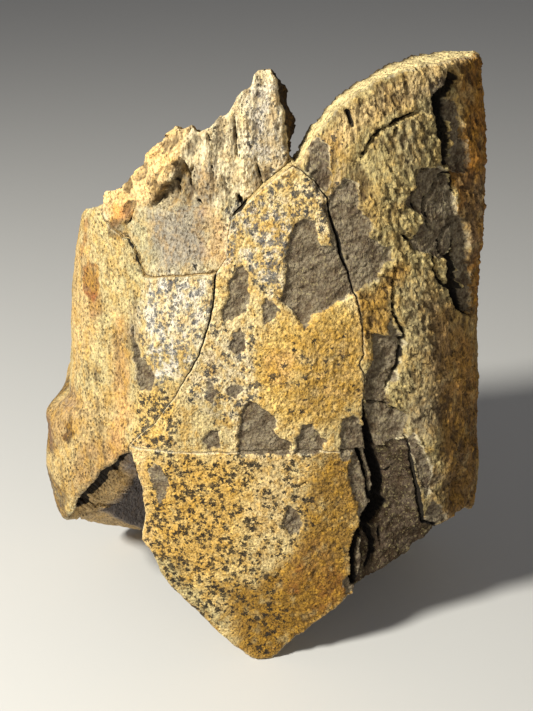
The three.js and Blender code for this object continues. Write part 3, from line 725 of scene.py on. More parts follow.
LOOSE = {  # how many crumbs cling to each kind of grain
    "splinters": 0.2, "fibres": 0.02, "chunks": 0.2, "chips": 0.5, "flakes": 0.3, "lumps": 0.3,
    "calm": 0.0,
}
CALM_FROM, CALM_TO, CALMED = 97, 110, 0.45  # the grain is lower beyond these values of u
print("zones of grain:", len(GRAIN))

# %% Recipes of the grain
def grain(kind, u, v):
    """Relief of one kind of grain, in millimetres for a height of 1."""
    if kind == "splinters":
        long = blistered((u + 0.12 * v) / 2.0, v / 9, 301, 3)
        torn = facets((u + 2 * long) / 2.4, v / 5.5, 310)
        return 0.42 * long + 0.7 * torn + 0.9 * smooth_noise(u / 7, v / 14, 303)
    if kind == "fibres":
        long = blistered((u + 0.06 * v) / 1.9, v / 12, 320, 3)
        return 0.34 * long + 0.2 * layered(u / 3, v / 5, 321)
    if kind == "chips":
        big = 0.45 * facets(u / 5.5 + 3, v / 6.5, 335)
        small = 0.3 * facets(u / 2.3, v / 2.6, 330)
        return big + small + 0.55 * blistered(u / 3.1, v / 3.5, 333, 3)
    if kind == "chunks":
        big = 2.6 * facets(u / 8, v / 7, 336) + 1.0 * facets(u / 3.4, v / 3.4, 337)
        return big + 0.4 * blistered(u / 3, v / 3, 338, 3)
    if kind == "flakes":
        lean_u = u + 0.4 * v
        big = 0.75 * facets(lean_u / 7.5, v / 10, 340)
        small = 1.25 * facets((lean_u + big) / 2.1, v / 3.8, 345)
        return big + small + 0.7 * blistered(lean_u / 2.8, v / 5, 347, 3)
    if kind == "lumps":
        big = 1.3 * facets(u / 8, v / 10, 350)
        return big + 0.8 * facets(u / 2.2, v / 3.2, 355) + 0.6 * blistered(u / 3, v / 5, 357, 3)
    return np.zeros(u.shape)


def grow_grain(u, v):
    """Roughness of the skin, how fibrous it is, and how thickly crumbs lie on it."""
    rough, fibre, loose = np.zeros(u.shape), np.zeros(u.shape), np.zeros(u.shape)
    for outline, soft, kind, height in GRAIN:
        share = smoothstep(-soft / 2, soft / 2, within(np.array(outline), u, v, 10))
        rough = rough * (1 - share) + share * height * grain(kind, u, v)
        fibre = fibre * (1 - share) + share * (kind in ("splinters", "fibres"))
        loose = loose * (1 - share) + share * height * LOOSE[kind]
    rough += 0.22 * layered(u / 2.4, v / 2.6, 360, 3)
    rough *= 1 - CALMED * smoothstep(CALM_FROM, CALM_TO, np.abs(u))
    return rough, fibre, loose


# %% Put the relief together
def skin(name, u, v, joint_gap, mouth):
    """Rise of the skin, and the marks that its stains follow later."""
    rise = broad_form(u, v)
    rough, fibre, loose = grow_grain(u, v)
    wobble = edge_wobble(u, v)
    cut = fallen_layers(name, u, v, wobble)
    spall = np.full(u.shape, BARE if name == "lower_right_fragment" else SOUND)
    dark = np.full(u.shape, -2.0)
    rough, cut, spall, dark = cut_patches(u, v, wobble, rough, cut, spall, dark)
    cut, dark = cut_cracks(u, v, wobble, cut, dark)

    reach = 0.3 + 0.5 * mouth + 0.3 * smooth_noise(u / 2.3, v / 2.3, 395)
    cut += (0.2 + 0.9 * mouth) * (1 - smoothstep(0.0, np.maximum(reach, 0.2), joint_gap))
    dark = np.maximum(dark, 0.5 * mouth - joint_gap)
    marks = {
        "spall": np.clip(spall, -3, 3),
        "crevice": np.clip(dark, -2, 2),
        "height": rough,
        "ledge": np.clip(joint_gap, 0, 3),
        "fibre": fibre,
        "crumbs": loose * smoothstep(0.0, 0.6, smooth_noise(u / 6, v / 6, 398)) * (dark < 0),
    }
    return rise + rough - cut, marks


# %% [markdown]
# ## Stains
#
# Bone takes up iron and manganese from the ground water: iron stains it straw, ochre and rust, and
# manganese grows as small black stars. The soft stains are painted by zones, each a colour with an
# outline and a soft border, laid over each other as thin washes. The stars and the sharp borders
# come later, in the material, where they can be finer than the mesh.

# %% Colours by name
def colour(red, green, blue):
    """A colour given in screen values, turned into the linear values that a material wants."""
    c = np.array([red, green, blue]) / 255
    return np.where(c <= 0.04045, c / 12.92, ((c + 0.055) / 1.055) ** 2.4)


PAINT = {
    "cream": colour(182, 166, 121), "tan": colour(170, 140, 92), "straw": colour(206, 184, 132),
    "gold": colour(200, 166, 90), "ochre": colour(158, 120, 52), "khaki": colour(164, 149, 104),
    "beige": colour(208, 194, 160), "chalk": colour(202, 173, 124), "olive": colour(150, 143, 108),
    "stone": colour(130, 118, 98), "brown": colour(88, 72, 50), "orange": colour(200, 136, 66),
    "rust": colour(126, 70, 32), "white": colour(226, 214, 182), "slate": colour(120, 114, 114),
    "umber": colour(62, 46, 30), "amber": colour(136, 90, 26), "earth": colour(90, 76, 62),
    "honey": colour(132, 98, 32), "peat": colour(58, 46, 28), "rim": colour(226, 206, 152),
    "saffron": colour(190, 144, 50), "lilac": colour(192, 188, 186), "soil": colour(44, 32, 13),
}
print("colours:", len(PAINT))

# %% Ground colour of each fragment, and of its broken faces
BASE = {
    "left_side_fragment": "cream", "upper_left_fragment": "beige",
    "middle_front_fragment": "straw", "lower_front_fragment": "straw",
    # The wedge's dark peat is partly its own grey-brown and partly painted shade.
    "lower_right_fragment": "peat", "right_side_fragment": "khaki",
}
BREAKS = {
    "left_side_fragment": "chalk", "upper_left_fragment": "chalk",
    "middle_front_fragment": "straw", "lower_front_fragment": "straw",
    "lower_right_fragment": "peat", "right_side_fragment": "rim",
}

# %% Washes on the left side: paint, strength, softness, outline
WASHES = [
    ("tan", 0.7, 14, [(-260, -5), (-112, -5), (-106, 60), (-108, 110), (-100, 150), (-96, 205),
                      (-260, 205)]),
    ("orange", 0.45, 5, [(-73, 160), (-66, 160), (-62, 125), (-57, 97), (-66, 94), (-72, 125)]),
    ("tan", 0.5, 8, [(-108, 105), (-72, 128), (-66, 95), (-92, 58), (-112, 55)]),
    ("orange", 0.2, 9, [(-100, 178), (-86, 190), (-80, 150), (-98, 120)]),
    ("rust", 0.5, 3, [(-87, 165), (-80, 167), (-77, 158), (-83, 155)]),
    ("rust", 0.8, 1.5, [(-92, 174), (-88, 180), (-82, 178), (-80, 170), (-83, 164), (-89, 165)]),
    ("brown", 0.45, 2, [(-91, 173), (-87, 178), (-82, 176), (-81, 169), (-88, 167)]),
    ("brown", 0.5, 4, [(-70, 156), (-62, 156), (-61, 147), (-66, 141), (-71, 147)]),
    ("rust", 0.6, 2.5, [(-96, 194), (-92, 196), (-89, 186), (-93, 180)]),
    ("brown", 0.65, 3, [(-83, 134), (-79, 135), (-78, 129), (-82, 127)]),
    ("soil", 0.9, 0.9, [(-88.2, 108.5), (-85, 110.5), (-83.2, 104), (-84.6, 98), (-87.2, 100)]),
    ("earth", 0.9, 4, [(-114, 105), (-97, 103), (-91, 97), (-94, 90), (-114, 89)]),
    ("earth", 0.75, 5, [(-114, 82), (-99, 80), (-92, 70), (-90, 60), (-114, 56)]),
    ("slate", 0.5, 4, [(-102, 121), (-92, 120), (-88, 113), (-98, 110)]),
    ("brown", 0.85, 8, [(-124, 116), (-107, 113), (-101, 96), (-104, 80), (-124, 72)]),
    ("brown", 0.75, 4, [(-104, 78), (-95, 80), (-87, 70), (-88, 62), (-96, 54), (-106, 60)]),
    ("olive", 0.5, 6, [(-66, 190), (-59, 180), (-56, 174), (-58, 166), (-70, 172)]),
    ("slate", 0.35, 6, [(-64, 164), (-58, 164), (-58, 150), (-66, 150)]),
    ("white", 0.6, 9, [(-55, 178), (-24, 180), (-27, 152), (-54, 150)]),
    ("gold", 0.75, 8, [(-57, 128), (-40, 131), (-32, 104), (-57, 104)]),
    ("brown", 0.35, 6, [(-72, 150), (-64, 152), (-60, 128), (-66, 120)]),
    ("rust", 0.35, 8, [(-80, 100), (-64, 108), (-60, 92), (-84, 66)]),
    ("rust", 0.3, 10, [(-104, 118), (-88, 122), (-80, 108), (-96, 92), (-106, 98)]),
]

# %% Washes on the upper left
WASHES += [
    ("chalk", 0.95, 2.5, [(-84, 200), (-76, 196), (-67, 203.5), (-57, 205.5), (-45, 220),
                          (-38, 236), (-38, 250), (-95, 250)]),
    ("orange", 0.75, 4, [(-77, 202), (-71, 206), (-66, 203), (-66, 198), (-76, 196)]),
    ("brown", 0.8, 2, [(-77, 196), (-71, 198), (-67, 194), (-70, 190), (-76, 191)]),
    ("stone", 0.6, 5, [(-42, 220), (-30, 222), (-23, 212), (-28, 206), (-42, 206)]),
    # The brown over the spire's hollow is partly its own tone and partly painted shade; the umber
    # along its cliff is painted shade.
    ("brown", 0.62, 2.5, [(-59, 205), (-56, 210), (-50, 215), (-45, 221), (-40, 224),
                          (-37, 214), (-38, 206), (-47, 204)]),
    ("umber", 0.6, 2, [(-57, 206), (-50, 214), (-44, 221), (-41, 221), (-43, 212), (-48, 207)]),
    ("slate", 0.35, 6, [(-36, 222), (-24, 224), (-22, 208), (-34, 208)]),
    ("slate", 0.35, 8, [(-8, 246), (6, 250), (8, 222), (-6, 222)]),
    ("olive", 0.5, 3, [(-71, 195), (-67, 203), (-57.5, 204.6), (-31.5, 206), (-19, 203),
                      (-18, 187), (-22.5, 181), (-45, 178.5), (-57, 177), (-60, 180),
                      (-67, 190)]),
    ("slate", 0.68, 8, [(-58, 203), (-30, 205), (-28, 184), (-46, 180), (-58, 186)]),
    ("olive", 0.55, 7, [(-68, 198), (-60, 200), (-50, 184), (-57, 177), (-66, 188)]),
    ("orange", 0.35, 7, [(-28, 204), (-18, 202), (-18, 184), (-28, 184)]),
    ("olive", 0.6, 3, [(-23, 208), (-12, 208), (-16, 200), (-20, 200)]),
]

# %% Washes on the middle
WASHES += [
    ("beige", 0.25, 8, [(-24, 165), (-10, 160), (-4, 130), (-12, 104), (-44, 104), (-38, 132)]),
    ("beige", 0.3, 6, [(-22, 160), (-8, 162), (-4, 136), (-28, 134)]),
    ("khaki", 0.5, 6, [(-38, 128), (-20, 130), (-14, 116), (-16, 104), (-42, 104)]),
    ("brown", 0.45, 3, [(-25, 131), (-21, 132), (-19, 118), (-23, 117)]),
    ("gold", 0.85, 7, [(-1, 156), (6, 163), (18, 163), (30, 170), (37, 165), (39, 144),
                       (38, 127), (27, 117), (14, 119), (8, 115), (0, 126), (-4, 135),
                       (-5, 146)]),
    ("ochre", 0.5, 8, [(14, 160), (36, 160), (40, 130), (28, 116), (12, 122)]),
    ("orange", 0.3, 5, [(2, 152), (12, 150), (10, 134), (0, 138)]),
    ("khaki", 0.5, 5, [(32, 127), (40, 127), (41, 104), (26, 104), (26, 116)]),
    ("gold", 0.2, 8, [(-2, 205), (12, 212), (22, 205), (16, 190), (0, 192)]),
]

# %% Washes on the lower front
WASHES += [
    ("gold", 0.45, 9, [(-50, 98), (-20, 104), (-2, 96), (-8, 40), (-30, 26), (-52, 60)]),
    ("saffron", 0.5, 9, [(-50, 98), (-18, 104), (-8, 92), (-16, 52), (-30, 40), (-48, 58)]),
    ("honey", 0.92, 8, [(19, 104), (36, 104), (40, 80), (34, 40), (4, 2), (-6, 6), (-2, 40),
                        (12, 60)]),
    ("honey", 0.96, 12, [(-20, 40), (40, 50), (38, 30), (4, -4), (-12, 4)]),
    ("rust", 0.22, 8, [(14, 62), (24, 66), (30, 48), (20, 36), (6, 40)]),
    ("rust", 0.4, 7, [(24, 44), (34, 48), (36, 36), (26, 26), (18, 26)]),
    ("rust", 0.6, 2, [(12, 51), (15, 52), (15, 48), (12, 47)]),
    ("rust", 0.5, 2.5, [(10, 41), (13, 42), (14, 37), (10, 37)]),
    ("chalk", 0.5, 3, [(-55, 108), (-48, 104), (-47, 60), (-50, 50), (-55, 60)]),
    ("chalk", 0.45, 5, [(-10, 106), (18, 106), (10, 96), (-8, 98)]),
    ("chalk", 0.35, 8, [(-4, 96), (14, 92), (8, 66), (-8, 70)]),
    ("olive", 0.6, 5, [(-48, 50), (-41, 54), (-35, 52), (-33, 40), (-24, 30), (-16, 18),
                       (-24, 18), (-38, 32), (-50, 44)]),
    ("rust", 0.45, 4, [(-44, 42), (-36, 34), (-20, 14), (-8, 2), (-12, -2), (-30, 18),
                       (-48, 40)]),
    ("chalk", 0.6, 2.5, [(12, 9), (16, 15), (24, 23), (32, 30), (37, 34), (37, 28), (24, 16)]),
]

# %% Washes on the right
WASHES += [
    ("ochre", 0.85, 5, [(36, 172), (44, 174), (47, 179), (52, 185), (58, 182), (54, 176),
                        (50, 168), (51, 161), (50, 154), (43, 155), (40, 150), (44, 144),
                        (38, 143)]),
    ("amber", 0.9, 3, [(79, 217), (84, 219), (92, 214), (92, 198), (84, 196), (80, 200)]),
    # Painted shade: umber on the ledge right of the deep groove, which faces away from the key
    # light.
    ("umber", 0.5, 3, [(87, 198), (93, 198), (99, 175), (99, 153), (92, 153), (90, 175)]),
    ("amber", 0.75, 12, [(66, 168), (84, 158), (100, 140), (108, 90), (96, 50), (76, 56),
                         (72, 100), (68, 130)]),
    ("amber", 0.9, 9, [(80, 260), (96, 262), (114, 240), (108, 150), (96, 150), (88, 180),
                       (84, 215)]),
    ("umber", 0.3, 10, [(100, 250), (112, 240), (116, 170), (104, 160), (98, 200)]),
    ("chalk", 0.6, 4, [(12, 222), (20, 232), (45, 250), (78, 259), (100, 262), (78, 250),
                       (48, 240), (26, 226)]),
    ("ochre", 0.5, 5, [(20, 232), (27, 238), (34, 222), (28, 205), (23, 212)]),
    ("ochre", 0.5, 12, [(30, 206), (38, 216), (46, 206), (42, 196)]),
    ("stone", 0.5, 8, [(60, 250), (72, 252), (74, 236), (64, 238)]),
    ("stone", 0.45, 8, [(50, 232), (60, 236), (62, 222), (52, 220)]),
    ("stone", 0.6, 8, [(60, 128), (72, 130), (66, 104), (58, 106)]),
    ("stone", 0.7, 3, [(60, 104), (68, 98), (72, 86), (68, 78), (63, 84)]),
    ("stone", 0.7, 2.5, [(68, 76), (74, 74), (78, 62), (70, 60)]),
    ("stone", 0.5, 10, [(84, 210), (98, 214), (96, 180), (84, 176)]),
    ("stone", 0.35, 14, [(54, 176), (72, 180), (80, 150), (74, 112), (60, 112), (56, 140)]),
    ("ochre", 0.35, 16, [(116, -5), (262, -5), (262, 265), (116, 265)]),
    ("amber", 0.45, 30, [(96, -5), (130, -5), (138, 120), (142, 270), (96, 270)]),
    ("khaki", 0.5, 24, [(122, -5), (140, -5), (136, 120), (130, 270), (160, 270), (160, -5)]),
    # Darker lower right: partly a brown stain, partly painted shade.
    ("umber", 0.5, 18, [(70, 116), (106, 116), (106, 44), (70, 50)]),
]

# %% Washes on the wedge
WASHES += [
    # The wedge's umber wash, like its peat ground and soil floor, is partly its own grey-brown and
    # partly painted shade, where it lies low and turned from the key light.
    ("stone", 0.4, 8, [(40, 100), (58, 108), (60, 96), (46, 88)]),
    ("umber", 0.6, 8, [(44, 90), (62, 90), (70, 60), (74, 50), (38, 30)]),
    ("stone", 0.3, 5, [(44, 60), (54, 62), (56, 40), (42, 38)]),
]
print("washes:", len(WASHES))

# %% [markdown]
# ### Where the stars crowd
#
# Manganese creeps along cracks and settles where water stood, so the stars lie thick on the
# front's left side, thin out to the right, and are blue-grey rather than black on the palest bone.
# Placing each star would take a thousand rows. A few zones say how thickly they grow; the material
# does the rest.

# %% Zones of stars: how thickly, how blue, softness, outline
STARS = [
    (0.75, 0.0, 9, [(-46, 100), (-6, 104), (-2, 60), (-8, 30), (-24, 16), (-44, 40), (-48, 70)]),
    (1.0, 0.0, 7, [(-46, 98), (-20, 102), (-20, 76), (-30, 56), (-30, 34), (-44, 42), (-48, 70)]),
    (0.45, 0.0, 9, [(-4, 104), (18, 104), (16, 70), (8, 50), (-4, 60)]),
    (0.5, 0.0, 8, [(-16, 40), (4, 46), (10, 22), (2, 4), (-10, 6)]),
    (0.95, 0.1, 6, [(-56, 128), (-42, 132), (-34, 106), (-56, 104)]),
    (0.85, 0.75, 7, [(-17, 204), (8, 218), (14, 210), (12, 198), (4, 168), (-8, 184),
                     (-17, 184)]),
    (0.75, 0.35, 5, [(2, 222), (22, 214), (28, 190), (22, 194), (14, 204), (0, 206)]),
    (0.75, 0.95, 9, [(-56, 178), (-24, 180), (-30, 140), (-54, 132)]),
    (0.55, 0.35, 8, [(-30, 158), (-6, 160), (0, 130), (-12, 112), (-34, 130)]),
    (0.3, 0.6, 8, [(-10, 250), (6, 252), (8, 224), (-10, 216)]),
    (0.35, 0.2, 5, [(20, 234), (30, 236), (32, 214), (24, 206)]),
    (0.15, 0.1, 10, [(0, 150), (34, 158), (38, 124), (6, 124)]),
]
print("zones of stars:", len(STARS))


def scatter_stars(u, v, drift):
    """How thickly the stars grow at every place, and how blue they are."""
    stars, blue = np.zeros(u.shape), np.zeros(u.shape)
    for thick, tint, soft, outline in STARS:
        share = smoothstep(-soft / 2, soft / 2, within(np.array(outline), u, v, 14) + drift)
        stars = stars * (1 - share) + thick * share
        blue = blue * (1 - share) + tint * share
    crowd = smooth_noise(u / 8, v / 9, 507) + 0.7 * smooth_noise(u / 3.4, v / 3.6, 508)
    return np.clip(stars * (0.25 + 0.95 * smoothstep(-0.6, 0.4, crowd)), 0, 1), blue


# %% Paint the skin
HUE_DRIFT = {  # how far patches of cream and ochre stray from the washes
    "left_side_fragment": 0.35, "upper_left_fragment": 0.15, "middle_front_fragment": 0.4,
    "lower_front_fragment": 0.5, "lower_right_fragment": 0.05, "right_side_fragment": 0.3,
}


def paint_skin(name, u, v, drift):
    """Lays every wash over the fragment's ground colour, then lets the hue stray a little."""
    ground = np.tile(PAINT[BASE[name]], (len(u), 1))
    for paint, strength, soft, outline in WASHES:
        inside = within(np.array(outline), u, v, 16) + drift
        share = strength * smoothstep(-soft / 2, soft / 2, inside)
        ground += (PAINT[paint] - ground) * share[:, None]
    patchy = smooth_noise(u / 6.5, v / 7.5, 505) + 0.5 * smooth_noise(u / 2.6, v / 3, 506)
    for paint, side in (("cream", patchy), ("ochre", -patchy)):
        share = HUE_DRIFT[name] * smoothstep(0.1, 0.9, side)
        ground += (PAINT[paint] - ground) * share[:, None]
    return ground


# %% Paint the broken faces and the marrow side
def paint_depths(name, u, v, drift):
    """Colours of the break faces and of the marrow side."""
    shade = 0.85 + 0.25 * smooth_noise(u / 5, v / 5, 502)
    pale = PAINT[BREAKS[name]] * shade[:, None]
    if name == "left_side_fragment":  # grey bone shows in the gap at the lower left
        # Painted light: the slate here is made half again as pale, so the grey in the shaded gap
        # reads as lit.
        lit_gap_grey = smoothstep(-69, -63, u + drift * 0.6)[:, None] * (v < 120)[:, None]
        pale = pale + (PAINT["slate"] * 1.5 - pale) * lit_gap_grey
    if name == "upper_left_fragment":  # the spire's right flank is dark
        # Painted shade: the spire's right flank, turned from the key light, is darkened to umber.
        shadow = (smoothstep(1, 4, u) * (v > 220))[:, None]
        pale = pale + (PAINT["umber"] * 0.5 - pale) * shadow
    inner = PAINT["umber"] * 0.9 + 0 * pale
    if name.endswith("side_fragment"):
        inner = inner + (PAINT["slate"] * 1.1 - inner) * smoothstep(130, 110, v)[:, None]
    return pale, inner


def stain(name, u, v, depth_share):
    """Ground colour of every place, and how thick and how blue its stars are."""
    drift = 2.4 * smooth_noise(u / 9, v / 10, 500) + 1.0 * smooth_noise(u / 3, v / 3.3, 501)
    ground = paint_skin(name, u, v, drift)
    stars, blue = scatter_stars(u, v, drift)
    pale, inner = paint_depths(name, u, v, drift)
    broken = smoothstep(0.02, 0.10, depth_share)[:, None]
    ground = ground * (1 - broken) + pale * broken
    deep = smoothstep(0.75, 1.0, depth_share)[:, None]
    ground = ground * (1 - deep) + inner * deep
    return ground, stars * (1 - broken[:, 0]), blue


# %% [markdown]
# ## Building a fragment
#
# A fragment is a closed shell: its skin, its marrow side, and the faces round its rim that join
# the two. The skin is a net of triangles that is fine in front and coarser at the back, fitted
# between the fragment's lines by a Delaunay triangulation, which is Blender's quick way to fill an
# outline with well-shaped triangles. The rim is a stack of rings from skin to marrow side, and the
# rings of a broken end are roughened.

# %% Net of places inside an outline
def marrow_depth(u, v):
    """Depth of the marrow side below the sound skin."""
    return WALL + 1.1 * smooth_noise(u / 30, v / 30, 610)


def sprinkle(ring, step, low_u, high_u, seed):
    """Slightly shaken triangular grid inside a closed outline, between two values of u."""
    rows = []
    low_v, high_v = ring[:, 1].min(), ring[:, 1].max()
    ahead = np.roll(ring, -1, axis=0)
    us = np.arange(low_u, high_u, step)
    for k, v in enumerate(np.arange(low_v, high_v, step * 0.866)):
        a, b = ring[:, 1], ahead[:, 1]
        hit = (a > v) != (b > v)
        crossings = np.sort(
            ring[hit, 0] + (v - a[hit]) / (b[hit] - a[hit]) * (ahead[hit, 0] - ring[hit, 0])
        )
        row = us + (k % 2) * step / 2
        row = row[np.searchsorted(crossings, row) % 2 == 1]
        rows.append(np.column_stack([row, np.full(len(row), v)]))
    places = np.vstack(rows)
    rng = np.random.default_rng(seed)
    return places + rng.uniform(-0.16, 0.16, places.shape) * step


def gap_to(ring, places, reach=3.5):
    """Distance from each place to the nearest point of a ring, and which point that is."""
    tree = kdtree.KDTree(max(1, len(ring)))
    for i, (u, v) in enumerate(ring):
        tree.insert((u, v, 0), i)
    tree.balance()
    out = np.full(len(places), float(reach))
    which = np.zeros(len(places), int)
    for i, (u, v) in enumerate(places):
        _, which[i], out[i] = tree.find((u, v, 0))
    return np.minimum(out, reach), which


def fill(ring, places):
    """Triangulates an outline with places inside it. Returns all places and the triangles."""
    points = [Vector(p) for p in ring] + [Vector(p) for p in places]
    outline = [list(range(len(ring)))]
    found, _, faces, origins, _, _ = geometry.delaunay_2d_cdt(points, [], outline, 1, 1e-5)
    where = np.array([tuple(p) for p in found])
    new_index = np.full(len(points), -1)
    for i, sources in enumerate(origins):
        for source in sources:
            new_index[source] = i
    return where, np.array([f[:3] for f in faces]), new_index[: len(ring)]


# %% The skin of a fragment
def draw_in(ring, mouth):
    """A fragment's outer edge, drawn back a little from its joints, and the way inwards."""
    outer = ring[:, :2].copy()
    along = np.roll(outer, -1, axis=0) - np.roll(outer, 1, axis=0)
    inward = np.column_stack([-along[:, 1], along[:, 0]])
    inward /= np.linalg.norm(inward, axis=1)[:, None] + 1e-9
    outer += inward * np.where(mouth >= 0, 0.07 + 0.1 * mouth, 0.0)[:, None]
    return outer, inward


def skin_net(outer, seed):
    """Places and triangles of the skin: fine in front, coarser at the back."""
    low, high = outer[:, 0].min(), outer[:, 0].max()
    parts = [sprinkle(outer, STEP, max(low, -FRONT_REACH), min(high, FRONT_REACH), seed)]
    if low < -FRONT_REACH:
        parts.append(sprinkle(outer, STEP * COARSER, low, -FRONT_REACH, seed + 1))
    if high > FRONT_REACH:
        parts.append(sprinkle(outer, STEP * COARSER, FRONT_REACH, high, seed + 2))
    places = np.vstack(parts)
    clear = gap_to(outer, places)[0] > STEP * 0.45
    return fill(outer, places[clear])


def worn_skin(name, flat, outer, mouth):
    """The relief at every place of the net, with the broken ends rounded off."""
    u, v = flat.T
    on_joint = mouth >= 0
    joint_gap, nearest = gap_to(outer[on_joint], flat)
    end_gap, _ = gap_to(outer[~on_joint] if not on_joint.all() else outer + 999, flat)
    rise, marks = skin(name, u, v, joint_gap, mouth[on_joint][nearest])
    worn = 1.0 + 0.7 * smooth_noise(u / 3, v / 3, 600)
    rise -= 1.1 * (1 - smoothstep(0, 1.6, end_gap / worn)) ** 1.5
    marks["ledge"] = np.minimum(marks["ledge"], end_gap)
    return rise, marks


# %% [markdown]
# ### The broken rim
#
# Seen from the side, a break through thick bone is ragged, and at the lower left the outer layer
# overhangs: under its lip the wall is hollowed out, which is the dark gap. Pushing the rings of
# the rim in and out by facets makes the break; pushing those under the lip far in makes the gap,
# and those rings are also painted near-black as shade. Displacement of a flat end could not
# undercut anything.

# %% Rings of the rim, from the skin to the marrow side
RIM = np.array([0, 0.5, 1.1, 1.9, 2.9, 4.1, 5.5, 7.1, 8.9, 10.8, 12.8, 14.8, 17]) / 17
UNDERCUT = 6.5  # how far the wall is hollowed out under the lip, in millimetres
TORN, TORN_RIGHT = 1.8, 1.0  # how rough the breaks are; those on the right are calmer


def undercut(name, u, v):
    """Where the outer layer overhangs a broken end: the gap at the lower left."""
    if name != "left_side_fragment":
        return np.zeros(u.shape)
    along = smoothstep(-92, -86, u) * (1 - smoothstep(-58.5, -57.5, u))
    return along * smoothstep(50, 62, v) * (v < 103)


def rim_ring(name, seed, share, place, depth, ring, inward, on_joint):
    """One ring of the rim, at a share of the way to the marrow side, and where it is hollowed."""
    rim_u, rim_v = place
    s = np.arange(len(rim_u)) * STEP
    torn = facets(s / 4.2, depth / 4.2, 620 + seed)
    torn = torn * (TORN_RIGHT if name.startswith("right") else TORN)
    torn = torn + 0.5 * smooth_noise(s / 1.5, depth / 1.5, 621)
    push = torn * np.where(on_joint, 0.0, 1.0) * smoothstep(0, 0.12, share)
    push = np.where(ring[:, 1] < 0.5, 0, push)
    lip = 0.42 + 0.1 * smooth_noise(s / 5, 0.5, 630) + 0.06 * smooth_noise(s / 1.6, 0.5, 631)
    under = smoothstep(0.0, 0.05, share) * (1 - smoothstep(lip, lip + 0.1, share))
    under = under * undercut(name, rim_u, rim_v)
    push = push * (1 - under) + UNDERCUT * under
    new_u = rim_u + ring[:, 2] * share + inward[:, 0] * push
    new_v = rim_v + ring[:, 3] * share + inward[:, 1] * push
    return new_u, np.maximum(new_v, 0), under


# %% The marrow side
MARROW_STEP = 2.6  # millimetres between its places: nobody sees them closely


def marrow_side(ring, seed):
    """Places, depths and triangles that close a fragment on its marrow side."""
    grid = sprinkle(ring, MARROW_STEP, ring[:, 0].min(), ring[:, 0].max(), seed + 5)
    grid = grid[gap_to(ring, grid)[0] > 1.2]
    inside, tris, rim = fill(ring, grid)
    u, v = inside.T
    calm_edge = smoothstep(0, 4, gap_to(ring, inside, 5)[0])
    depth = marrow_depth(u, v)
    depth += 0.8 * layered(u / 5, v / 6, 611) * calm_edge
    return u, v, depth, tris, rim


# %% Turn a fragment into one closed mesh
def band_between(before, here):
    """Two triangles for each step between a ring and the next one."""
    a, b = before, np.roll(before, -1)
    c, d = here, np.roll(here, -1)
    return [np.column_stack([a, c, d]), np.column_stack([a, d, b])]


def build_fragment(name, seed):
    """All places of a fragment on the flat wall, with their marks, and its triangles."""
    ring, mouth = loop_of(name)
    outer, inward = draw_in(ring, mouth)
    flat, tris, rim = skin_net(outer, seed)
    rise, marks = worn_skin(name, flat, outer, mouth)
    u, v = flat.T
    rows = [(u, v, -rise, np.zeros(len(u)), marks["crevice"])]
    cells, count, before = [tris], len(u), rim
    top, bottom = -rise[rim], marrow_depth(u[rim], v[rim])
    for share in RIM[1:]:
        depth = top + (bottom - top) * share
        new_u, new_v, under = rim_ring(
            name, seed, share, (u[rim], v[rim]), depth, ring, inward, mouth >= 0
        )
        if share < 1:
            here = count + np.arange(len(rim))
            # Painted shade: rings under the overhanging lip and the side walls of wide joints get
            # the near-black fill.
            earth_and_shade = np.maximum(4 * under - 2, np.clip(5 * (mouth - 0.5), -2, 1))
            rows.append((new_u, new_v, depth, share + 0 * depth, earth_and_shade))
        else:
            in_u, in_v, deep, in_tris, in_rim = marrow_side(np.column_stack([new_u, new_v]), seed)
            here = count + in_rim
            rows.append((in_u, in_v, deep, np.ones(len(in_u)), -2.0 + 0 * in_u))
            cells.append(in_tris[:, ::-1] + count)
        count += len(rows[-1][0])
        cells += band_between(before, here)
        before = here
    keys = ("u", "v", "depth", "share", "crevice")
    data = {key: np.concatenate(column) for key, column in zip(keys, zip(*rows))}
    for key, rest in (("spall", -3), ("height", 0), ("ledge", 3), ("fibre", 0), ("crumbs", 0)):
        data[key] = np.concatenate([marks[key], np.full(count - len(u), float(rest))])
    return data, np.vstack(cells)


# %% Store it as a Blender mesh with its marks
def add_number(mesh, name, values):
    layer = mesh.attributes.new(name, "FLOAT", "POINT")
    layer.data.foreach_set("value", np.asarray(values, np.float32))


def to_mesh(name, data, cells):
    mesh = bpy.data.meshes.new(name)
    co = roll(data["u"], data["depth"], data["v"])
    mesh.vertices.add(len(co))
    mesh.vertices.foreach_set("co", co.astype(np.float32).ravel())
    mesh.loops.add(cells.size)
    mesh.loops.foreach_set("vertex_index", cells.astype(np.int32).ravel())
    mesh.polygons.add(len(cells))
    mesh.polygons.foreach_set("loop_start", np.arange(0, cells.size, 3, dtype=np.int32))
    mesh.polygons.foreach_set("use_smooth", np.ones(len(cells), bool))
    mesh.update(calc_edges=True)
    mesh.validate()
    ground, stars, blue = stain(name, data["u"], data["v"], data["share"])
    layer = mesh.attributes.new("ground", "FLOAT_COLOR", "POINT")
    rgba = np.column_stack([np.clip(ground, 0, 1), np.ones(len(ground))])
    layer.data.foreach_set("color", rgba.astype(np.float32).ravel())
    for key in ("spall", "crevice", "height", "ledge", "fibre", "crumbs"):
        add_number(mesh, key, data[key])
    add_number(mesh, "stars", stars)
    add_number(mesh, "blue", blue)
    add_number(mesh, "skin", 1 - smoothstep(0.0, 0.08, data["share"]))
    flat = mesh.uv_layers.new(name="flat")
    corner = cells.ravel()
    uv = np.column_stack([data["u"][corner], data["v"][corner]]) * MM
    flat.data.foreach_set("uv", uv.astype(np.float32).ravel())
    return mesh


# %% Build all six
FRAGMENTS = {}
for seed, name in enumerate(LOOPS):
    data, cells = build_fragment(name, 10 * seed)
    mesh = to_mesh(name, data, cells)
    piece = bpy.data.objects.new(name + "_bone", mesh)
    bpy.context.scene.collection.objects.link(piece)
    FRAGMENTS[name] = piece
    print(name, len(mesh.vertices), "vertices", len(mesh.polygons), "triangles")
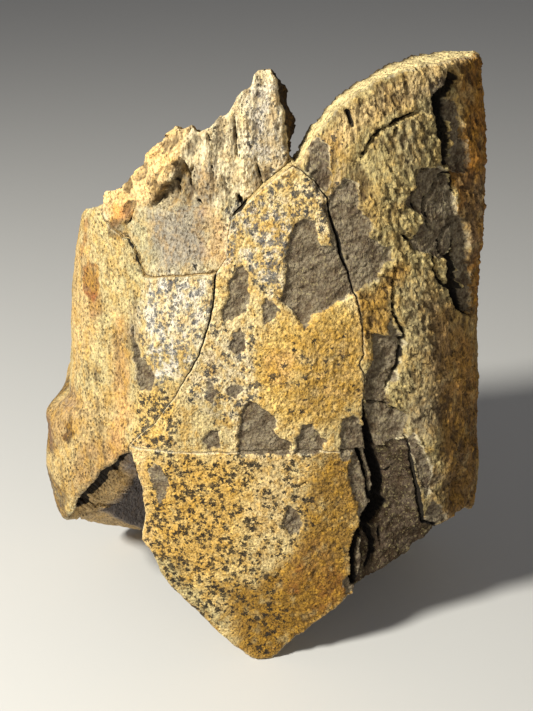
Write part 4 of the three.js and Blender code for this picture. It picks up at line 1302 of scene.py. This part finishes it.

# %% [markdown]
# ## Shader groups
#
# Three effects turn up on every fragment: the black manganese stars, the grain of old bone, and
# the way dirt and painted shade sit in cracks while ledges stay pale. Each is a node group, built
# once, with its sizes as inputs. The stars follow the flat wall through the UV map, so they keep
# their size on the curve; the rest reads Object coordinates, because stone has no direction of its
# own.

# %% Small helpers to wire nodes
def new_group(name, inputs, outputs):
    group = bpy.data.node_groups.new(name, "ShaderNodeTree")
    for label, kind, value in inputs:
        socket = group.interface.new_socket(label, in_out="INPUT", socket_type=kind)
        if value is not None:
            socket.default_value = value
    for label, kind in outputs:
        group.interface.new_socket(label, in_out="OUTPUT", socket_type=kind)
    source = group.nodes.new("NodeGroupInput")
    result = group.nodes.new("NodeGroupOutput")
    return group, source, result


def plug(tree, value, socket):
    """Links a socket to a socket, or sets a plain value."""
    if isinstance(value, bpy.types.NodeSocket):
        tree.links.new(value, socket)
    else:
        socket.default_value = value


def math_node(tree, operation, *values, clamp=False):
    node = tree.nodes.new("ShaderNodeMath")
    node.operation = operation
    node.use_clamp = clamp
    for value, socket in zip(values, node.inputs):
        plug(tree, value, socket)
    return node.outputs[0]


def vector_node(tree, operation, *values):
    node = tree.nodes.new("ShaderNodeVectorMath")
    node.operation = operation
    for value, socket in zip(values, node.inputs):
        plug(tree, value, socket)
    return node.outputs["Vector"]


def ramp(tree, value, low, high, to_low=0.0, to_high=1.0):
    """A soft step between two values."""
    node = tree.nodes.new("ShaderNodeMapRange")
    node.interpolation_type = "SMOOTHSTEP"
    for label, given in (("Value", value), ("From Min", low), ("From Max", high),
                         ("To Min", to_low), ("To Max", to_high)):
        plug(tree, given, node.inputs[label])
    return node.outputs["Result"]


# %% Helpers for colours and noise
def solid_colour(values):
    return (*[float(value) for value in values], 1.0)


def mix_colour(tree, share, a, b, blend="MIX"):
    """Lays colour b over colour a, or multiplies them."""
    node = tree.nodes.new("ShaderNodeMix")
    node.data_type = "RGBA"
    node.blend_type = blend
    node.clamp_factor = True
    plug(tree, share, node.inputs[0])
    plug(tree, a, node.inputs[6])
    plug(tree, b, node.inputs[7])
    return node.outputs[2]


def noise_node(tree, vector, scale, detail=2.0, rough=0.5):
    """Noise; scale is how many waves there are in a metre."""
    node = tree.nodes.new("ShaderNodeTexNoise")
    plug(tree, vector, node.inputs["Vector"])
    plug(tree, scale, node.inputs["Scale"])
    node.inputs["Detail"].default_value = detail
    node.inputs["Roughness"].default_value = rough
    return node


def group_node(tree, group, **values):
    """Places a node group; a value's name is its socket's, with _ for a space."""
    node = tree.nodes.new("ShaderNodeGroup")
    node.node_tree = group
    for label, value in values.items():
        plug(tree, value, node.inputs[label.replace("_", " ")])
    return node.outputs


# %% [markdown]
# ### Manganese stars
#
# Manganese grows from the ground water as flat black stars two to four millimetres wide, each with
# a few blunt, frilled arms. They could be drawn by hand, but there are thousands. Voronoi cells
# scatter them: each cell holds one star, and its random colour picks how many arms it has, how it
# is turned and how big it is. A cell stays empty where its random number is above the thickness.

# %% The group that draws stars
stars_group, g_in, g_out = new_group(
    "Manganese stars",
    [("Flat", "NodeSocketVector", None), ("Size", "NodeSocketFloat", 0.003),
     ("Thickness", "NodeSocketFloat", 0.5), ("Shift", "NodeSocketFloat", 0.0)],
    [("Mask", "NodeSocketFloat")],
)
t = stars_group
scale = math_node(t, "DIVIDE", 1.0, g_in.outputs["Size"])
place = vector_node(t, "MULTIPLY", g_in.outputs["Flat"], (1.0, 1.0, 0.0))
place = vector_node(t, "ADD", place, g_in.outputs["Shift"])
warp = noise_node(t, place, 900.0, 2.0)
bend = vector_node(t, "SUBTRACT", warp.outputs["Color"], (0.5, 0.5, 0.5))
bend = vector_node(t, "MULTIPLY", bend, (0.0011, 0.0011, 0.0))
place = vector_node(t, "ADD", place, bend)
cells_node = t.nodes.new("ShaderNodeTexVoronoi")
cells_node.voronoi_dimensions = "2D"
plug(t, place, cells_node.inputs["Vector"])
plug(t, scale, cells_node.inputs["Scale"])
cells_node.inputs["Randomness"].default_value = 0.95
away = vector_node(t, "SUBTRACT", place, cells_node.outputs["Position"])
split = t.nodes.new("ShaderNodeSeparateXYZ")
plug(t, away, split.inputs[0])
pick = t.nodes.new("ShaderNodeSeparateColor")
plug(t, cells_node.outputs["Color"], pick.inputs[0])
angle = math_node(t, "ARCTAN2", split.outputs["Y"], split.outputs["X"])
extra_arms = math_node(t, "ROUND", math_node(t, "MULTIPLY", pick.outputs[0], 3.0))
arms = math_node(t, "ADD", 3.0, extra_arms)
first_arm = math_node(t, "MULTIPLY", pick.outputs[1], 19.0)
turned = math_node(t, "MULTIPLY_ADD", angle, arms, first_arm)
petal = math_node(t, "MULTIPLY_ADD", math_node(t, "SINE", turned), 0.22, 0.72)
frill = noise_node(t, place, 1700.0, 3.0, 0.6)
petal = math_node(t, "ADD", petal, math_node(t, "MULTIPLY_ADD", frill.outputs[0], 1.5, -0.75))
size = math_node(t, "MULTIPLY_ADD", pick.outputs[2], 0.36, 0.25)
reach = math_node(t, "MULTIPLY", petal, size)
edge = math_node(t, "SUBTRACT", reach, cells_node.outputs["Distance"])
star = ramp(t, edge, -0.05, 0.07)
gaps = noise_node(t, g_in.outputs["Flat"], 2600.0, 2.0)
star = math_node(t, "MULTIPLY", star, ramp(t, gaps.outputs[0], 0.36, 0.5, 0.65, 1.0))
grown = math_node(t, "GREATER_THAN", g_in.outputs["Thickness"],
                  math_node(t, "FRACT", math_node(t, "MULTIPLY", pick.outputs[0], 7.13)))
plug(t, math_node(t, "MULTIPLY", star, grown, clamp=True), g_out.inputs["Mask"])
print("nodes that draw the stars:", len(t.nodes))

# %% [markdown]
# ### Grain of old bone
#
# Close up, the bone is mottled and sandy, pitted by the pores of its blood vessels, and streaked
# along its length. Each is a noise of its own size, stretched along the shaft. The group gives
# them out one by one, because the colour, the polish and the bump each need a different mix.

# %% The group that grains the bone
grain_group, g_in, g_out = new_group(
    "Bone grain",
    [("Place", "NodeSocketVector", None), ("Pore Size", "NodeSocketFloat", 0.0012),
     ("Stretch", "NodeSocketFloat", 0.45)],
    [("Mottle", "NodeSocketFloat"), ("Pores", "NodeSocketFloat"), ("Streaks", "NodeSocketFloat"),
     ("Grit", "NodeSocketFloat"), ("Height", "NodeSocketFloat")],
)
t = grain_group
squeeze = t.nodes.new("ShaderNodeCombineXYZ")
for k in (0, 1):
    squeeze.inputs[k].default_value = 1.0
plug(t, g_in.outputs["Stretch"], squeeze.inputs[2])
place = vector_node(t, "MULTIPLY", g_in.outputs["Place"], squeeze.outputs[0])
mottle = noise_node(t, place, 260.0, 4.0, 0.62)
plug(t, mottle.outputs[0], g_out.inputs["Mottle"])
pore_scale = math_node(t, "DIVIDE", 1.0, g_in.outputs["Pore Size"])
pits = t.nodes.new("ShaderNodeTexVoronoi")
plug(t, place, pits.inputs["Vector"])
plug(t, pore_scale, pits.inputs["Scale"])
ragged = noise_node(t, place, 1600.0, 2.0)
pit_size = math_node(t, "MULTIPLY_ADD", ragged.outputs[0], 0.5, -0.02)
open_pit = ramp(t, math_node(t, "SUBTRACT", pits.outputs["Distance"], pit_size), 0.12, -0.08)
patchy = noise_node(t, place, 170.0, 3.0)
open_pit = math_node(t, "MULTIPLY", open_pit, ramp(t, patchy.outputs[0], 0.42, 0.58))
plug(t, open_pit, g_out.inputs["Pores"])
long_place = vector_node(t, "MULTIPLY", g_in.outputs["Place"], (1.0, 1.0, 0.12))
streaks = noise_node(t, long_place, 420.0, 3.0, 0.6)
plug(t, streaks.outputs[0], g_out.inputs["Streaks"])
fine = noise_node(t, place, 1150.0, 3.0, 0.7)
plug(t, fine.outputs[0], g_out.inputs["Grit"])
height = math_node(t, "MULTIPLY_ADD", open_pit, -0.8, fine.outputs[0])
chips = t.nodes.new("ShaderNodeTexVoronoi")
plug(t, place, chips.inputs["Vector"])
chips.inputs["Scale"].default_value = 900.0
height = math_node(t, "MULTIPLY_ADD", chips.outputs["Distance"], 0.5, height)
height = math_node(t, "MULTIPLY_ADD", mottle.outputs[0], 1.2, height)
plug(t, height, g_out.inputs["Height"])
print("nodes that grain the bone:", len(t.nodes))

# %% [markdown]
# ### Spalled floors, ledges, dirt and painted shade
#
# Where a layer is gone the floor is grey-brown and sandy, and a pale fresh rim runs along the
# ledge. Knocked edges of the joints are pale too. Cracks, grooves, wide joints and the undercut
# gap get a near-black fill, partly dark earth and partly painted shade, and low places of the
# grain are painted darker and high ones lighter, as painted shade and painted highlight. The mesh
# only stores how far each place lies from a ledge, a joint or a crack. The material turns that
# distance into an edge and shakes it with fine noise, so the edge is sharper than the triangles.

# %% The group that lays bare, dirties and paints shade
# Near-black for cracks, grooves, wide joints and the undercut gap: partly dark earth, partly
# painted shade.
SHADE_AND_EARTH_DARK = (0.006, 0.004, 0.003, 1.0)
# Multiplier for high places of the grain: painted highlight.
CREST_HIGHLIGHT = (1.35, 1.3, 1.2, 1.0)
wear_group, g_in, g_out = new_group(
    "Spall, earth and painted shade",
    [("Colour", "NodeSocketColor", None), ("Place", "NodeSocketVector", None),
     ("Spall", "NodeSocketFloat", -3.0), ("Crevice", "NodeSocketFloat", -2.0),
     ("Ledge", "NodeSocketFloat", 3.0), ("Relief", "NodeSocketFloat", 0.0),
     ("Floor", "NodeSocketColor", solid_colour(PAINT["stone"])),
     ("Rim", "NodeSocketColor", solid_colour(PAINT["white"])),
     ("Shade And Earth", "NodeSocketColor", SHADE_AND_EARTH_DARK),
     ("Joint Rim", "NodeSocketFloat", 0.5)],
    [("Colour", "NodeSocketColor"), ("Bare", "NodeSocketFloat")],
)
t = wear_group
ragged = noise_node(t, g_in.outputs["Place"], 520.0, 4.0, 0.65)
line = math_node(t, "MULTIPLY_ADD", ragged.outputs[0], 2.4, -1.2)
edge = math_node(t, "ADD", g_in.outputs["Spall"], line)
bare = ramp(t, edge, -0.02, 0.45)
cloud = noise_node(t, g_in.outputs["Place"], 230.0, 5.0, 0.65)
floor = mix_colour(t, ramp(t, cloud.outputs[0], 0.4, 0.62), g_in.outputs["Floor"],
                   solid_colour(PAINT["earth"]))
speck = noise_node(t, g_in.outputs["Place"], 1000.0, 3.0, 0.65)
floor = mix_colour(t, ramp(t, speck.outputs[0], 0.5, 0.36, 0.0, 0.7), floor,
                   solid_colour(PAINT["umber"]))
floor = mix_colour(t, ramp(t, speck.outputs[0], 0.54, 0.66, 0.0, 0.55), floor,
                   solid_colour(PAINT["khaki"]))
# Painted shade and highlight: low places of a bare floor are darkened with umber, high ones
# lightened with khaki.
floor = mix_colour(t, ramp(t, g_in.outputs["Relief"], 0.0, -0.6, 0.0, 0.7), floor,
                   solid_colour(PAINT["umber"]))
floor = mix_colour(t, ramp(t, g_in.outputs["Relief"], 0.25, 0.8, 0.0, 0.5), floor,
                   solid_colour(PAINT["khaki"]))
# Painted highlight on high places of the grain, and painted shade in its low places.
colour_now = mix_colour(t, ramp(t, g_in.outputs["Relief"], 0.1, 0.8, 0.0, 0.6),
                        g_in.outputs["Colour"], CREST_HIGHLIGHT, "MULTIPLY")
colour_now = mix_colour(t, ramp(t, g_in.outputs["Relief"], -0.05, -0.75, 0.0, 0.7),
                        colour_now, solid_colour(PAINT["umber"]))
here_and_there = noise_node(t, g_in.outputs["Place"], 110.0, 2.0)
rim_on = math_node(t, "MULTIPLY", ramp(t, edge, -0.5, -0.1),
                   ramp(t, here_and_there.outputs[0], 0.45, 0.68, 0.0, 0.4))
colour_now = mix_colour(t, rim_on, colour_now, g_in.outputs["Rim"])
colour_now = mix_colour(t, math_node(t, "MULTIPLY", bare, 0.94), colour_now, floor)
near_joint = ramp(t, math_node(t, "ADD", g_in.outputs["Ledge"], line), 0.75, 0.2)
near_joint = math_node(t, "MULTIPLY", near_joint, g_in.outputs["Joint Rim"])
near_joint = math_node(t, "MULTIPLY", near_joint, math_node(t, "SUBTRACT", 1.0, bare))
colour_now = mix_colour(t, near_joint, colour_now, g_in.outputs["Rim"])
# Near-black fill in cracks, grooves, wide joints and the undercut gap: dark earth and painted
# shade.
earth_and_shade = ramp(t, math_node(t, "MULTIPLY_ADD", line, 0.15, g_in.outputs["Crevice"]), -0.06, 0.16)
colour_now = mix_colour(t, math_node(t, "MULTIPLY", earth_and_shade, 0.97), colour_now, g_in.outputs["Shade And Earth"])
plug(t, colour_now, g_out.inputs["Colour"])
plug(t, bare, g_out.inputs["Bare"])
print("nodes that lay bare and dirty:", len(t.nodes))

# %% [markdown]
# ## Bone materials
#
# Every fragment is the same fossil bone, but each has its own size of star, its own pores and its
# own polish. One recipe with a few values per fragment keeps them a family. The bump carries what
# is finer than the mesh, under half a millimetre.
#
# The colour is built like the real one: the painted ground, warm and cool clouds in it, grit,
# pits, then the stars, and last the bare floors and the dirt, with painted shade in cracks and
# hollows and painted highlight on crests.

# %% Tints: the first two are multiplied, so they keep the hue of what lies under them
LIGHTER = (1.5, 1.42, 1.22, 1.0)
DARKER = (0.36, 0.29, 0.21, 1.0)
BLACK_STAR = (0.014, 0.011, 0.008, 1.0)
BLUE_STAR = (0.09, 0.094, 0.105, 1.0)

# %% The recipe, part one: the colour of the ground
def read_attribute(tree, name):
    node = tree.nodes.new("ShaderNodeAttribute")
    node.attribute_type = "GEOMETRY"
    node.attribute_name = name
    return node


def ground_colour(t, marks, grain_of, warmth, streak, pore_strength):
    """The painted ground with its clouds, streaks, grit and pits."""
    mottle, grit = grain_of["Mottle"], grain_of["Grit"]
    warmed = math_node(t, "MULTIPLY", ramp(t, mottle, 0.45, 0.62, 0.0, warmth),
                       math_node(t, "MULTIPLY_ADD", marks["skin"], 0.75, 0.25))
    ground = read_attribute(t, "ground").outputs["Color"]
    tone = mix_colour(t, warmed, ground, solid_colour(PAINT["saffron"]))
    cool = math_node(t, "MULTIPLY", marks["blue"], ramp(t, mottle, 0.5, 0.4, 0.0, 0.7))
    cool = math_node(t, "MULTIPLY", cool, marks["skin"])
    tone = mix_colour(t, cool, tone, solid_colour(PAINT["lilac"]))
    tone = mix_colour(t, ramp(t, mottle, 0.5, 0.3, 0.0, 0.6), tone, LIGHTER, "MULTIPLY")
    streaked = math_node(t, "MULTIPLY", ramp(t, grain_of["Streaks"], 0.52, 0.7, 0.0, streak),
                         marks["fibre"])
    tone = mix_colour(t, streaked, tone, solid_colour(PAINT["brown"]))
    tone = mix_colour(t, ramp(t, grit, 0.5, 0.37, 0.0, 0.8), tone, DARKER, "MULTIPLY")
    tone = mix_colour(t, ramp(t, grit, 0.52, 0.64, 0.0, 0.8), tone, LIGHTER, "MULTIPLY")
    pitted = math_node(t, "MULTIPLY", grain_of["Pores"], pore_strength)
    return mix_colour(t, pitted, tone, solid_colour(PAINT["umber"]))


# %% The recipe, part two: two sizes of stars over the ground
STAR_SIZES = ((1.0, 0.0, 1.0), (0.55, 3.7, 0.8))  # share of the size, shift, share of the stars


def ink_stars(t, marks, flat, tone, star_size):
    ink_colour = mix_colour(t, marks["blue"], BLACK_STAR, BLUE_STAR)
    strength = math_node(t, "MULTIPLY_ADD", marks["blue"], -0.18, 0.94)
    for scale, shift, share in STAR_SIZES:
        thickness = math_node(t, "MULTIPLY", marks["stars"], share)
        star = group_node(t, stars_group, Flat=flat, Size=star_size * scale, Shift=shift,
                          Thickness=thickness)
        ink = math_node(t, "MULTIPLY", star["Mask"], marks["skin"])
        ink = math_node(t, "MULTIPLY", ink, strength)
        tone = mix_colour(t, ink, tone, ink_colour)
    return tone


# %% The recipe, part three: wear, polish and bump
MARKS = ("spall", "crevice", "height", "ledge", "stars", "blue", "skin", "fibre")


def bone_material(name, star_size, pore, stretch, pore_strength, streak, roughness, joint_rim,
                  warmth, floor_paint):
    material = bpy.data.materials.new(name)
    material.use_nodes = True
    t = material.node_tree
    shader = t.nodes["Principled BSDF"]
    place = t.nodes.new("ShaderNodeTexCoord").outputs["Object"]
    flat = t.nodes.new("ShaderNodeUVMap")
    flat.uv_map = "flat"
    marks = {key: read_attribute(t, key).outputs["Fac"] for key in MARKS}
    grain_of = group_node(t, grain_group, Place=place, Pore_Size=pore, Stretch=stretch)
    tone = ground_colour(t, marks, grain_of, warmth, streak, pore_strength)
    tone = ink_stars(t, marks, flat.outputs["UV"], tone, star_size)
    worn = group_node(
        t, wear_group, Colour=tone, Place=place, Spall=marks["spall"], Ledge=marks["ledge"],
        Crevice=marks["crevice"], Relief=marks["height"], Joint_Rim=joint_rim,
        Floor=solid_colour(PAINT[floor_paint]),
    )
    plug(t, worn["Colour"], shader.inputs["Base Color"])

    rough = ramp(t, grain_of["Mottle"], 0.3, 0.7, roughness - 0.08, roughness + 0.1)
    rough = math_node(t, "MULTIPLY_ADD", worn["Bare"], 0.12, rough)
    rough = math_node(t, "MULTIPLY_ADD", marks["blue"], -0.16, rough, clamp=True)
    plug(t, rough, shader.inputs["Roughness"])
    shader.inputs["Specular IOR Level"].default_value = 0.22

    bump = t.nodes.new("ShaderNodeBump")
    bump.inputs["Strength"].default_value = 1.0
    bump.inputs["Distance"].default_value = 0.0007
    plug(t, grain_of["Height"], bump.inputs["Height"])
    plug(t, bump.outputs["Normal"], shader.inputs["Normal"])
    return material


# %% One finish for each fragment
# Slot, star size, pore size, stretch along the shaft, strength of the pores and of the streaks,
# roughness, pale rim at joints, warm clouds, paint of a bare floor.
FINISHES = {
    "left_side_fragment":
        ("cream_bone", 0.0034, 0.0012, 0.6, 0.6, 0.65, 0.55, 0.2, 0.4, "stone"),
    "upper_left_fragment":
        ("pale_spalled_bone", 0.0026, 0.0014, 0.65, 0.5, 0.3, 0.7, 0.1, 0.3, "stone"),
    "middle_front_fragment":
        ("yellow_bone", 0.0039, 0.0014, 0.8, 0.6, 0.2, 0.6, 0.35, 0.5, "stone"),
    "lower_front_fragment":
        ("ochre_bone", 0.0037, 0.0012, 0.9, 0.55, 0.15, 0.6, 0.4, 0.5, "stone"),
    # The wedge's soil floor is partly its own dark colour and partly painted shade.
    "lower_right_fragment":
        ("grey_brown_bone", 0.003, 0.0014, 0.7, 0.5, 0.2, 0.76, 0.2, 0.0, "soil"),
    "right_side_fragment":
        ("khaki_bone", 0.0028, 0.0014, 0.5, 0.6, 0.2, 0.74, 0.2, 0.25, "stone"),
}
for name, (slot, *values) in FINISHES.items():
    FRAGMENTS[name].data.materials.append(bone_material(slot, *values))
print("finishes:", [slot for slot, *_ in FINISHES.values()])

# %% [markdown]
# ## Crumbs of bone
#
# Chips too small to model one by one cling to rough places. They repeat and they follow a surface,
# which is what Geometry Nodes are for: points are strewn over the skin where the grain is rough,
# and a small squashed stone is put on each, sunk halfway in. They keep the colour of the place
# they sit on, because the points carry the skin's attributes along.

# %% How many crumbs, and how big, in metres
CRUMBS_PER_M2 = 60000.0
SMALLEST, LARGEST = 0.00025, 0.0006
SQUASHED = (1.0, 1.0, 0.45)

# %% Crumb tree: points on the skin
crumb_tree = bpy.data.node_groups.new("Crumbs on rough bone", "GeometryNodeTree")
for way in ("INPUT", "OUTPUT"):
    crumb_tree.interface.new_socket("Geometry", in_out=way, socket_type="NodeSocketGeometry")
for label, kind in (("Seed", "NodeSocketInt"), ("Material", "NodeSocketMaterial")):
    crumb_tree.interface.new_socket(label, in_out="INPUT", socket_type=kind)
n, link = crumb_tree.nodes, crumb_tree.links
given, result = n.new("NodeGroupInput"), n.new("NodeGroupOutput")
where = n.new("GeometryNodeInputNamedAttribute")
where.data_type = "FLOAT"
where.inputs["Name"].default_value = "crumbs"
amount = n.new("ShaderNodeMath")
amount.operation = "MULTIPLY"
link.new(where.outputs["Attribute"], amount.inputs[0])
amount.inputs[1].default_value = CRUMBS_PER_M2
strew = n.new("GeometryNodeDistributePointsOnFaces")
link.new(given.outputs["Geometry"], strew.inputs["Mesh"])
link.new(amount.outputs[0], strew.inputs["Density"])
link.new(given.outputs["Seed"], strew.inputs["Seed"])

# %% Crumb tree: a squashed stone on each point
stone = n.new("GeometryNodeMeshIcoSphere")
stone.inputs["Radius"].default_value = 1.0
stone.inputs["Subdivisions"].default_value = 1
size = n.new("FunctionNodeRandomValue")
size.data_type = "FLOAT_VECTOR"
for socket, length in zip(size.inputs, (SMALLEST, LARGEST)):
    socket.default_value = [length * side for side in SQUASHED]
put = n.new("GeometryNodeInstanceOnPoints")
link.new(strew.outputs["Points"], put.inputs["Points"])
link.new(stone.outputs["Mesh"], put.inputs["Instance"])
link.new(strew.outputs["Rotation"], put.inputs["Rotation"])
link.new(size.outputs[0], put.inputs["Scale"])
join = n.new("GeometryNodeJoinGeometry")
link.new(given.outputs["Geometry"], join.inputs[0])
link.new(put.outputs["Instances"], join.inputs[0])
real = n.new("GeometryNodeRealizeInstances")
link.new(join.outputs[0], real.inputs[0])
paint = n.new("GeometryNodeSetMaterial")
link.new(real.outputs[0], paint.inputs["Geometry"])
link.new(given.outputs["Material"], paint.inputs["Material"])
link.new(paint.outputs[0], result.inputs[0])
print("nodes that strew crumbs:", len(n))

# %% Strew crumbs, then keep the result as a plain mesh
def strew_crumbs(piece, seed):
    """Adds crumbs to a piece for good, and counts its faces."""
    modifier = piece.modifiers.new("Crumbs", "NODES")
    modifier.node_group = crumb_tree
    keys = {item.name: item.identifier for item in crumb_tree.interface.items_tree
            if item.in_out == "INPUT"}
    modifier[keys["Seed"]] = seed
    modifier[keys["Material"]] = piece.data.materials[0]
    done = bpy.data.meshes.new_from_object(
        piece.evaluated_get(bpy.context.evaluated_depsgraph_get())
    )
    piece.modifiers.remove(modifier)
    old = piece.data
    piece.data = done
    bpy.data.meshes.remove(old)
    return len(done.polygons)


for seed, (name, piece) in enumerate(FRAGMENTS.items()):
    print(name, "with its crumbs:", strew_crumbs(piece, seed), "faces")

# %% [markdown]
# ## Put the pieces on the frame
#
# Nothing moves, so all six fragments ride on the one root body. Each stands for its own solid.

# %% Ride and replace
for name, piece in FRAGMENTS.items():
    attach(piece, "root")
    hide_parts(name)
print("pieces on the frame:", len(FRAGMENTS))

# %% [markdown]
# ## Floor, light and camera
#
# A pale floor, one soft key light high on the left and a weak fill. Low light from the side is
# what makes relief readable: every chip gets a lit and a shaded side. The camera looks down a
# little, as one would at a piece on a table.

# %% Floor
floor_mesh = bpy.data.meshes.new("floor")
floor_mesh.from_pydata([(-6, -6, 0), (6, -6, 0), (6, 12, 0), (-6, 12, 0)], [], [(0, 1, 2, 3)])
floor = bpy.data.objects.new("floor", floor_mesh)
bpy.context.scene.collection.objects.link(floor)
floor_material = bpy.data.materials.new("pale_floor")
floor_material.use_nodes = True
floor_shader = floor_material.node_tree.nodes["Principled BSDF"]
floor_shader.inputs["Base Color"].default_value = (0.58, 0.57, 0.55, 1)
floor_shader.inputs["Roughness"].default_value = 0.85
floor_mesh.materials.append(floor_material)

# %% Lights
def area_light(name, place, aim, size, watts, tint):
    light = bpy.data.lights.new(name, "AREA")
    light.shape = "DISK"
    light.size = size
    light.energy = watts
    light.color = tint
    lamp = bpy.data.objects.new(name, light)
    lamp.location = place
    lamp.rotation_euler = (Vector(aim) - Vector(place)).to_track_quat("-Z", "Y").to_euler()
    bpy.context.scene.collection.objects.link(lamp)


area_light("key", (-0.64, -0.58, 0.8), (0, 0, 0.14), 0.18, 22.0, (1.0, 0.985, 0.91))
area_light("fill", (0.2, -1.3, 0.5), (0, 0, 0.12), 1.2, 2.0, (1.0, 0.98, 0.95))
world = bpy.data.worlds.new("room")
world.use_nodes = True
world.node_tree.nodes["Background"].inputs["Color"].default_value = (0.97, 0.97, 1.0, 1)
world.node_tree.nodes["Background"].inputs["Strength"].default_value = 0.17
bpy.context.scene.world = world
bpy.context.scene.view_settings.view_transform = "Standard"

# %% Camera
TILT = np.radians(25)  # looking down
HALF_VIEW = np.radians(17)  # half the angle of view along the frame's longer side
camera_data = bpy.data.cameras.new("camera")
camera_data.sensor_width = 36
camera_data.lens = camera_data.sensor_width / 2 / np.tan(HALF_VIEW)
camera_data.clip_end = 50
camera = bpy.data.objects.new("camera", camera_data)
camera.location = (0.00066, -0.4628, 0.3366)
camera.rotation_euler = (np.pi / 2 - TILT, 0, 0)
bpy.context.scene.collection.objects.link(camera)
bpy.context.scene.camera = camera

# %% [markdown]
# ## Finish
#
# The dressed fragments are meant to fill the same box as the solids; here the scene is brought up
# to date last.

# %% Bring the scene up to date
bpy.context.view_layer.update()
